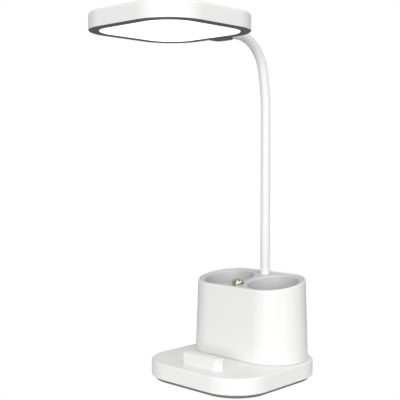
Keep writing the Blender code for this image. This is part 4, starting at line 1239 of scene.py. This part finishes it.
class LAMP_OT_inner_parts(PieceOperator, bpy.types.Operator):
    """Give the CAD nodes that stay their detailed materials"""

    bl_idname = "lamp.inner_parts"
    bl_label = "Inner parts"

    def execute(self, context):
        for name, node in frame["nodes"].items():
            if not node.hide_render:
                for slot in node.material_slots:
                    slot.material = finish(context, INNER_FINISHES.get(name, "plated_steel"))
        return {"FINISHED"}


def studio_way(azimuth, elevation):
    """Direction towards a light, by its angle round from the camera and its height above level."""
    turn = math.atan2(-CAMERA_FORWARD[1], -CAMERA_FORWARD[0]) + math.radians(azimuth)
    rise = math.radians(elevation)
    level_share = math.cos(rise)
    return Vector((math.cos(turn) * level_share, math.sin(turn) * level_share, math.sin(rise)))


class LAMP_OT_studio(PieceOperator, bpy.types.Operator):
    """Set up the pale floor, the soft studio light and the camera"""

    bl_idname = "lamp.studio"
    bl_label = "Studio"

    def execute(self, context):
        self.floor()
        self.world(context)
        self.lights()
        self.camera(context)
        return {"FINISHED"}

    def floor(self):
        """A white sweep: bright where it is looked at, and a dimmer light for the lamp itself."""
        deselect()
        bpy.ops.mesh.primitive_plane_add(size=FLOOR_SIDE, location=(0, 0, 0))
        floor = keep_place("studio_floor")
        made = bpy.data.materials.new("studio_white")
        made.use_nodes = True
        tree = made.node_tree
        tree.nodes.clear()
        place = new_node(tree, "ShaderNodeTexCoord")
        far = measure(tree, "LENGTH", place.outputs["Object"])
        pool = map_range(tree, far, POOL_EDGE, POOL_GLOW, interpolation_type="SMOOTHSTEP")
        self.seen_or_not(tree, pool, "ShaderNodeEmission", "ShaderNodeOutputMaterial")
        made.cycles.emission_sampling = "NONE"
        floor.data.materials.append(made)

    def seen_or_not(self, tree, strength, kind, result):
        """White light of a strength for the lamp, and full white for the camera."""
        light, seen = new_node(tree, kind), new_node(tree, kind)
        feed(tree, light, {"Color": WHITE, "Strength": strength})
        feed(tree, seen, {"Color": WHITE, "Strength": 1.0})
        ray = new_node(tree, "ShaderNodeLightPath").outputs["Is Camera Ray"]
        mixed = new_node(tree, "ShaderNodeMixShader")
        feed(tree, mixed, {0: ray, 1: light.outputs[0], 2: seen.outputs[0]})
        feed(tree, new_node(tree, result), {"Surface": mixed.outputs["Shader"]})

    def world(self, context):
        """A white surround for the picture, and soft lobes of light for the lamp."""
        world = bpy.data.worlds.new("studio")
        context.scene.world = world
        world.use_nodes = True
        world.cycles.sampling_method = "NONE"
        tree = world.node_tree
        tree.nodes.clear()
        place = new_node(tree, "ShaderNodeTexCoord")
        total = AMBIENT
        for azimuth, elevation, strength in LOBES:
            way = studio_way(azimuth, elevation)
            facing = measure(tree, "DOT_PRODUCT", place.outputs["Generated"], way)
            facing = calculate(tree, "MAXIMUM", facing, 0.0)
            total = calculate(tree, "MULTIPLY_ADD", facing, strength, total)
        self.seen_or_not(tree, total, "ShaderNodeBackground", "ShaderNodeOutputWorld")

    def lights(self):
        for number, (azimuth, elevation, power) in enumerate(SOFT_BOXES, 1):
            way = studio_way(azimuth, elevation)
            deselect()
            bpy.ops.object.light_add(type="AREA", location=STUDIO_CENTRE + way * STUDIO_REACH)
            lamp = bpy.context.active_object
            lamp.name = lamp.data.name = f"soft_box_{number}"
            lamp.data.size = SOFT_BOX_SIDE
            lamp.data.energy = power
            lamp.rotation_euler = (-way).to_track_quat("-Z", "Y").to_euler()
            lamp.visible_camera = False

    def camera(self, context):
        forward = Vector(CAMERA_FORWARD).normalized()
        right = forward.cross(Vector((0, 0, 1))).normalized()
        up = right.cross(forward)
        deselect()
        bpy.ops.object.camera_add()
        camera = context.active_object
        camera.name = camera.data.name = "studio_camera"
        turn = Matrix((right, up, -forward)).transposed().to_4x4()
        camera.matrix_world = Matrix.Translation(CAMERA_PLACE) @ turn
        camera.data.sensor_width = SENSOR
        camera.data.lens = LENS
        camera.data.clip_start, camera.data.clip_end = CLIP
        context.scene.camera = camera
        context.scene.view_settings.view_transform = "Standard"


PIECES = (
    LAMP_OT_base_shell,
    LAMP_OT_base_plate,
    LAMP_OT_holder_sleeve,
    LAMP_OT_double_cup,
    LAMP_OT_button,
    LAMP_OT_arm,
    LAMP_OT_head_shell,
    LAMP_OT_bezel,
    LAMP_OT_diffuser,
    LAMP_OT_inner_parts,
    LAMP_OT_studio,
)


class LAMP_PT_sidebar(bpy.types.Panel):
    """Sizes, colours and pieces of the desk lamp"""

    bl_idname = "LAMP_PT_sidebar"
    bl_label = "Desk lamp"
    bl_space_type = "VIEW_3D"
    bl_region_type = "UI"
    bl_category = "Desk lamp"

    def draw(self, context):
        for group in (context.scene.lamp_sizes, context.scene.lamp_colours):
            box = self.layout.box()
            for name in group.bl_rna.properties.keys():
                if name not in ("rna_type", "name"):
                    box.prop(group, name)
        for piece in PIECES:
            self.layout.operator(piece.bl_idname)


CLASSES = (LampSizes, LampColours, *PIECES, LAMP_PT_sidebar)


def register():
    for made in CLASSES:
        bpy.utils.register_class(made)
    bpy.types.Scene.lamp_sizes = PointerProperty(type=LampSizes)
    bpy.types.Scene.lamp_colours = PointerProperty(type=LampColours)


def unregister():
    del bpy.types.Scene.lamp_sizes
    del bpy.types.Scene.lamp_colours
    for made in reversed(CLASSES):
        bpy.utils.unregister_class(made)


def main():
    register()
    for piece in PIECES:
        group, name = piece.bl_idname.split(".")
        getattr(getattr(bpy.ops, group), name)()


if __name__ == "__main__":
    main()
